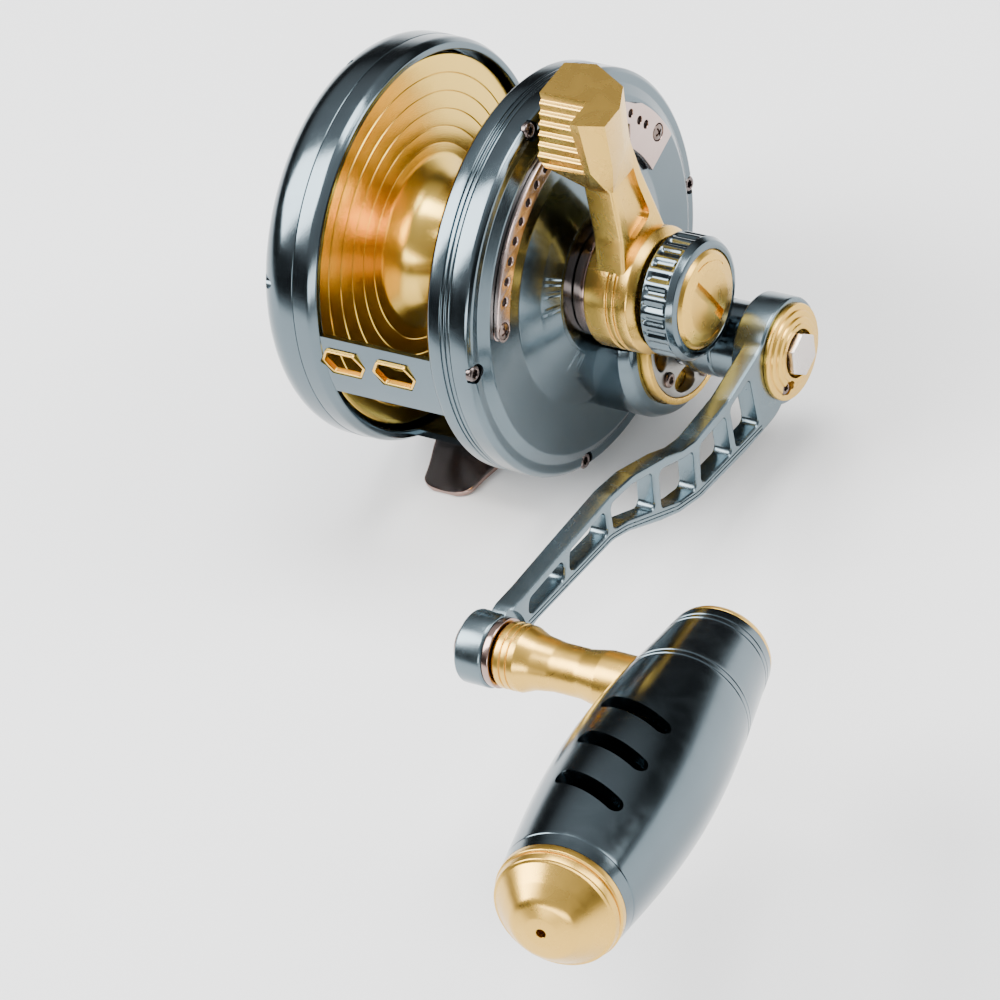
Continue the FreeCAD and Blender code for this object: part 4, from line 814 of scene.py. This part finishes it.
cap = lathe("handle_cap_stepped", hoop(
    [(arm_out + 0.02, 4.62), (arm_out + 0.02, 9.15), (arm_out + 0.95, 9.15), (arm_out + 0.98, 8.0),
     (arm_out + 1.45, 7.9), (arm_out + 1.5, 6.8), (arm_out + 1.95, 6.7), (arm_out + 2.0, 5.7),
     (arm_out + 2.28, 5.6), (arm_out + 2.28, 4.62)],
    [0.05, 0.1, 0.3, 0.08, 0.3, 0.08, 0.3, 0.08, 0.2, 0.1], 5), drive_axis)
lock_y, lock_z = on_arm([(4.4, -5.0)])[0]
lock_axis = spool_axis @ about(arm_out, lock_y, lock_z)
combine(cap, drum(-1, 4, 1.5, lock_axis))
finish_piece(cap, gold, "crank_body", "gold_anodised", "handle_cap")
soften(cap, 0.08)
turn = np.radians(60 * np.arange(6) + 12)
hexagon = np.stack([4.36 * np.cos(turn), 4.36 * np.sin(turn)], -1) + (drive_y, drive_z)
nut = plate_outline("handle_nut_faced", [rounded(hexagon, 0.35, True, 5)], arm_out + 0.04, arm_out + 3.38,
                    0.3, axial, 4)
combine(nut, drum(arm_out - 1, arm_out + 3.2, 3.5, drive_axis))
pale = metal("pale_nickel", (0.62, 0.56, 0.53), (0.74, 0.68, 0.65), 0.25, smudge=0.06)
finish_piece(nut, pale, "crank_body", "pale_nut", "handle_nut")
lock = lobed_screw("cap_lock_fixing", [lock_axis @ about(0.3)], 1.38, 1.0, 0.25)
finish_piece(lock, dark_steel, "crank_body", "steel_screws", "cap_lock_screw")

# ---- knob stem -------------------------------------------------------------------------
# A steel stud with a bronze-coloured rivet head passes through the arm's end. A washer
# and a waisted gold spindle ride on it and carry the grip.
stud = lathe("knob_stud_turned", rounded(
    [(55.82, 0), (55.82, 2.6), (56.6, 4.3), (57.96, 4.56), (57.97, 2.97), (97.9, 2.97), (97.9, 0)],
    [0, 0.5, 0.8, 0.1, 0.05, 0.2, 0]), stem_axis, 96)
finish_piece(stud, bronze, "crank_body", "bronze_steel", "knob_stud")
washer = lathe("stud_washer_turned", hoop([(63.62, 3.02), (63.62, 6.26), (64.98, 6.26), (64.98, 3.02)], 0.2),
               stem_axis, 128)
finish_piece(washer, bronze, "crank_body", "bronze_steel", "stud_washer")
spindle_line = [(65.32, 4.02), (65.32, 5.6), (65.9, 5.96), (66.9, 5.96), (67.0, 5.7), (67.2, 5.7),
                (67.3, 5.96), (68.2, 5.96), (68.3, 5.7), (68.5, 5.7), (68.6, 5.96), (69.7, 5.9), (72.0, 4.95),
                (76.0, 4.4), (81.5, 4.4), (85.6, 5.15), (86.9, 5.17), (98.98, 5.17), (98.98, 4.02)]
spindle = lathe("knob_spindle_turned", hoop(
    spindle_line, [0.1, 0.3, 0.2] + [0.05] * 8 + [1, 6, 6, 6, 2, 1, 0.2, 0.1], 7),
    stem_axis, 128)
finish_piece(spindle, gold, "grip_body", "gold_anodised", "knob_spindle")

# ---- grip ------------------------------------------------------------------------------
# The hollow aluminium grip is a polished torpedo across the stem, with fine grooves round
# it and three slanting slots through its wall. Gold end caps close it.
slant, yaw = np.radians(10.2), np.radians(15.9)
grip_along = (np.sin(slant), -np.cos(slant) * np.cos(yaw), np.cos(slant) * np.sin(yaw))
grip_axis = about(102.0, knob_y, axis_height / mm + knob_z, grip_along)
long_side, short_side = 57.7, 14.0


def grip_radius(t):
    """Radius at t along the grip: a straight taper plus 3.3 sin(pi u^0.92)^1.15, u from the large end."""
    u = np.clip((long_side - t) / (long_side + short_side), 0, 1)
    return 11.3 - 1.7 * u + 3.3 * np.abs(np.sin(np.pi * u ** 0.92)) ** 1.15 - 0.03


outside = []
grooves = (long_side - 2.6, 3.3, 1.9, -10.4, -11.8)
for t in np.linspace(-short_side + 0.03, long_side - 0.03, 150):
    outside.append((t, grip_radius(t)))
for t in grooves:
    outside = [p for p in outside if abs(p[0] - t) > 0.3]
    outside += [(t - 0.14, grip_radius(t)), (t, grip_radius(t) - 0.14), (t + 0.14, grip_radius(t))]
outside.sort()
inside = [(t, grip_radius(t) - 2.4) for t in np.linspace(long_side - 2.0, -short_side + 1.8, 40)]
section = [(outside[0][0], 0)] + outside + [(outside[-1][0], 0)]
grip = lathe("grip_barrel", section, grip_axis, 192)
room = lathe("room", [(inside[0][0], 0)] + inside + [(inside[-1][0], 0)], grip_axis, 96)
combine(grip, room)
slot_half, slot_ends = 1.6, (46, 98)
for step in range(3):
    t = long_side - 14.7 - 10.5 * step
    inner = grip_radius(t) - 4.0
    tilt = Matrix.Rotation(np.radians(-22), 4, Vector((0, *polar(1, 72))))
    slot_at = grip_axis @ about(t) @ tilt
    wall = hoop([(-slot_half, inner), (-slot_half, 20), (slot_half, 20), (slot_half, inner)], 0.01, 3)
    combine(grip, lathe("slot", wall, slot_at, 40, sweep=slot_ends))
    for end in slot_ends:
        direction = (0, *polar(1, end))
        combine(grip, drum(inner, 20, slot_half, slot_at @ about(direction=direction), steps=32))
combine(grip, drum(80, 99.2, 5.23, stem_axis, steps=96))
finish_piece(grip, gunmetal, "grip_body", "gunmetal_barrel", "knob_barrel")
soften(grip, 0.3, 42)
r = grip_radius(long_side)
near_cap = lathe("grip_near_cap", rounded(
    [(long_side + 0.02, 0), (long_side + 0.02, r), (long_side + 1.5, r), (long_side + 1.6, r - 0.6),
     (long_side + 1.9, r - 0.6), (long_side + 2.0, r - 0.3), (long_side + 3.3, r - 0.6),
     (long_side + 3.5, r - 1.1), (long_side + 6.0, r - 3.3), (long_side + 8.3, r - 5.6),
     (long_side + 9.0, r - 8.4),
     (long_side + 9.15, 0.85), (long_side + 5, 0.8), (long_side + 5, 0)],
    [0, 0.1, 0.3, 0.1, 0.1, 0.15, 0.4, 0.5, 6.0, 3.2, 3.0, 0.15, 0.05, 0], 12), grip_axis)
finish_piece(near_cap, gold, "grip_body", "gold_anodised", "near_end_cap")
r = grip_radius(-short_side)
far_cap = lathe("grip_far_cap", rounded(
    [(-short_side - 0.02, 0), (-short_side - 0.02, r), (-short_side - 1.3, r - 0.35),
     (-short_side - 2.5, r - 1.7), (-short_side - 3.38, r - 3.8), (-short_side - 3.38, 0)],
    [0, 0.2, 1.0, 1.5, 0.6, 0], 8), grip_axis)
finish_piece(far_cap, gold, "grip_body", "gold_anodised", "far_end_cap")

# ---- inner works -----------------------------------------------------------------------
# Gears, shafts, bearings, washers and springs keep their machined shapes. Each gets the
# finish of its own metal, or of woven carbon for the drag washer.
inner_steel = metal("ground_steel", (0.38, 0.38, 0.39), (0.58, 0.58, 0.6), 0.22, marks=0.05)
bearing_steel = metal("bearing_steel", (0.5, 0.5, 0.51), (0.66, 0.66, 0.67), 0.14, marks=0.03)
bush = metal("bronze_bush", (0.5, 0.31, 0.13), (0.62, 0.42, 0.2), 0.3, marks=0.05)


def woven_carbon():
    """Twill carbon: two sets of stripes across each other pick the lighter or the darker thread."""
    material = bpy.data.materials.new("carbon_washer")
    nodes, links, shader = nodes_of(material)
    place = nodes.new("ShaderNodeTexCoord")
    weave = nodes.new("ShaderNodeTexChecker")
    weave.inputs["Scale"].default_value = 900
    weave.inputs["Color1"].default_value = (0.02, 0.02, 0.022, 1)
    weave.inputs["Color2"].default_value = (0.06, 0.06, 0.065, 1)
    links.new(place.outputs["Object"], weave.inputs["Vector"])
    links.new(weave.outputs["Color"], shader.inputs["Base Color"])
    shader.inputs["Roughness"].default_value = 0.45
    return material


finishes = {"gunmetal_frame": gunmetal, "gunmetal_plate": gunmetal, "gunmetal_arm": satin,
            "gunmetal_barrel": gunmetal, "gunmetal_knob": gunmetal, "bronze_foot": bronze,
            "bronze_steel": bronze, "grey_web": grey_web, "gold_anodised": gold, "gold_spool": spool_gold,
            "gold_lever": lever_gold, "steel_screws": steel, "pale_nut": pale,
            "carbon_washer": woven_carbon(),
            "steel_inner": inner_steel, "bearing_steel": bearing_steel, "bronze_bush": bush}
for part in frame["record"]["subparts"]:
    node = frame["nodes"][part["node"]]
    node.data.materials.clear()
    node.data.materials.append(finishes[part["material_slot"]])

# ---- floor and lights --------------------------------------------------------------------
# The reel stands on its foot on a plain pale floor, under large soft lights that leave
# bright and dark bands on the polished metal.
scene = bpy.context.scene
floor_mesh = bpy.data.meshes.new("floor")
reach, sunk = 6, -0.0002
floor_mesh.from_pydata([(-reach, -reach, sunk), (reach, -reach, sunk), (reach, reach, sunk),
                        (-reach, reach, sunk)], [], [(0, 1, 2, 3)])
floor = bpy.data.objects.new("floor", floor_mesh)
scene.collection.objects.link(floor)
pale_floor = bpy.data.materials.new("pale_floor")
nodes, links, shader = nodes_of(pale_floor)
place = nodes.new("ShaderNodeTexCoord")
grain = nodes.new("ShaderNodeTexNoise")
grain.inputs["Scale"].default_value = 3
tone = nodes.new("ShaderNodeMapRange")
tone.inputs["To Min"].default_value = 0.86
tone.inputs["To Max"].default_value = 0.9
links.new(place.outputs["Object"], grain.inputs["Vector"])
links.new(grain.outputs["Fac"], tone.inputs["Value"])
links.new(tone.outputs["Result"], shader.inputs["Base Color"])
shader.inputs["Roughness"].default_value = 0.7
shader.inputs["Specular IOR Level"].default_value = 0.1
floor_mesh.materials.append(pale_floor)


def panel(name, location, size, energy, target=(0.03, -0.04, 0.04)):
    """Soft rectangular light turned to the reel."""
    light = bpy.data.lights.new(name, "AREA")
    light.shape = "RECTANGLE"
    light.size, light.size_y = size
    light.energy = energy
    holder = bpy.data.objects.new(name, light)
    scene.collection.objects.link(holder)
    aim = Vector(target) - Vector(location)
    holder.matrix_world = Matrix.Translation(location) @ aim.to_track_quat("-Z", "Y").to_matrix().to_4x4()
    return holder


panel("key", (-0.55, -0.35, 0.75), (0.5, 0.7), 17)
panel("right", (0.75, 0.35, 0.55), (0.35, 0.8), 8)
panel("front", (0.35, -0.9, 0.30), (0.9, 0.25), 6)
panel("top", (0.05, 0.25, 1.0), (0.7, 0.4), 13)
world = bpy.data.worlds.new("studio")
scene.world = world
world.use_nodes = True
nodes, links = world.node_tree.nodes, world.node_tree.links
sky = nodes["Background"]
sky.inputs["Strength"].default_value = 1.0
way = nodes.new("ShaderNodeTexCoord")
split = nodes.new("ShaderNodeSeparateXYZ")
ramp = nodes.new("ShaderNodeValToRGB")
ramp.color_ramp.elements[0].position = 0.0
ramp.color_ramp.elements[0].color = (0.9, 0.9, 0.9, 1)
ramp.color_ramp.elements[1].position = 1.0
ramp.color_ramp.elements[1].color = (0.85, 0.88, 0.92, 1)
for position, level in ((0.49, 0.8), (0.53, 0.06), (0.66, 0.05), (0.76, 0.45)):
    stop = ramp.color_ramp.elements.new(position)
    stop.color = (level, level * 1.01, level * 1.03, 1)
half = nodes.new("ShaderNodeMath")
half.operation = "MULTIPLY_ADD"
half.inputs[1].default_value = 0.5
half.inputs[2].default_value = 0.5
links.new(way.outputs["Generated"], split.inputs[0])
links.new(split.outputs["Z"], half.inputs[0])
links.new(half.outputs[0], ramp.inputs["Fac"])
links.new(ramp.outputs["Color"], sky.inputs["Color"])

lens = bpy.data.cameras.new("camera")
lens.lens = 215.907
lens.sensor_width = 36
lens.clip_end = 20
camera = bpy.data.objects.new("camera", lens)
scene.collection.objects.link(camera)
camera.matrix_world = Matrix.Translation((0.59289, -0.58649, 0.78625)) @ Matrix(
    ((0.83299, -0.20116, 0.51542), (0.48232, 0.72044, -0.49832), (-0.27108, 0.6637, 0.69715))).to_4x4()
scene.camera = camera
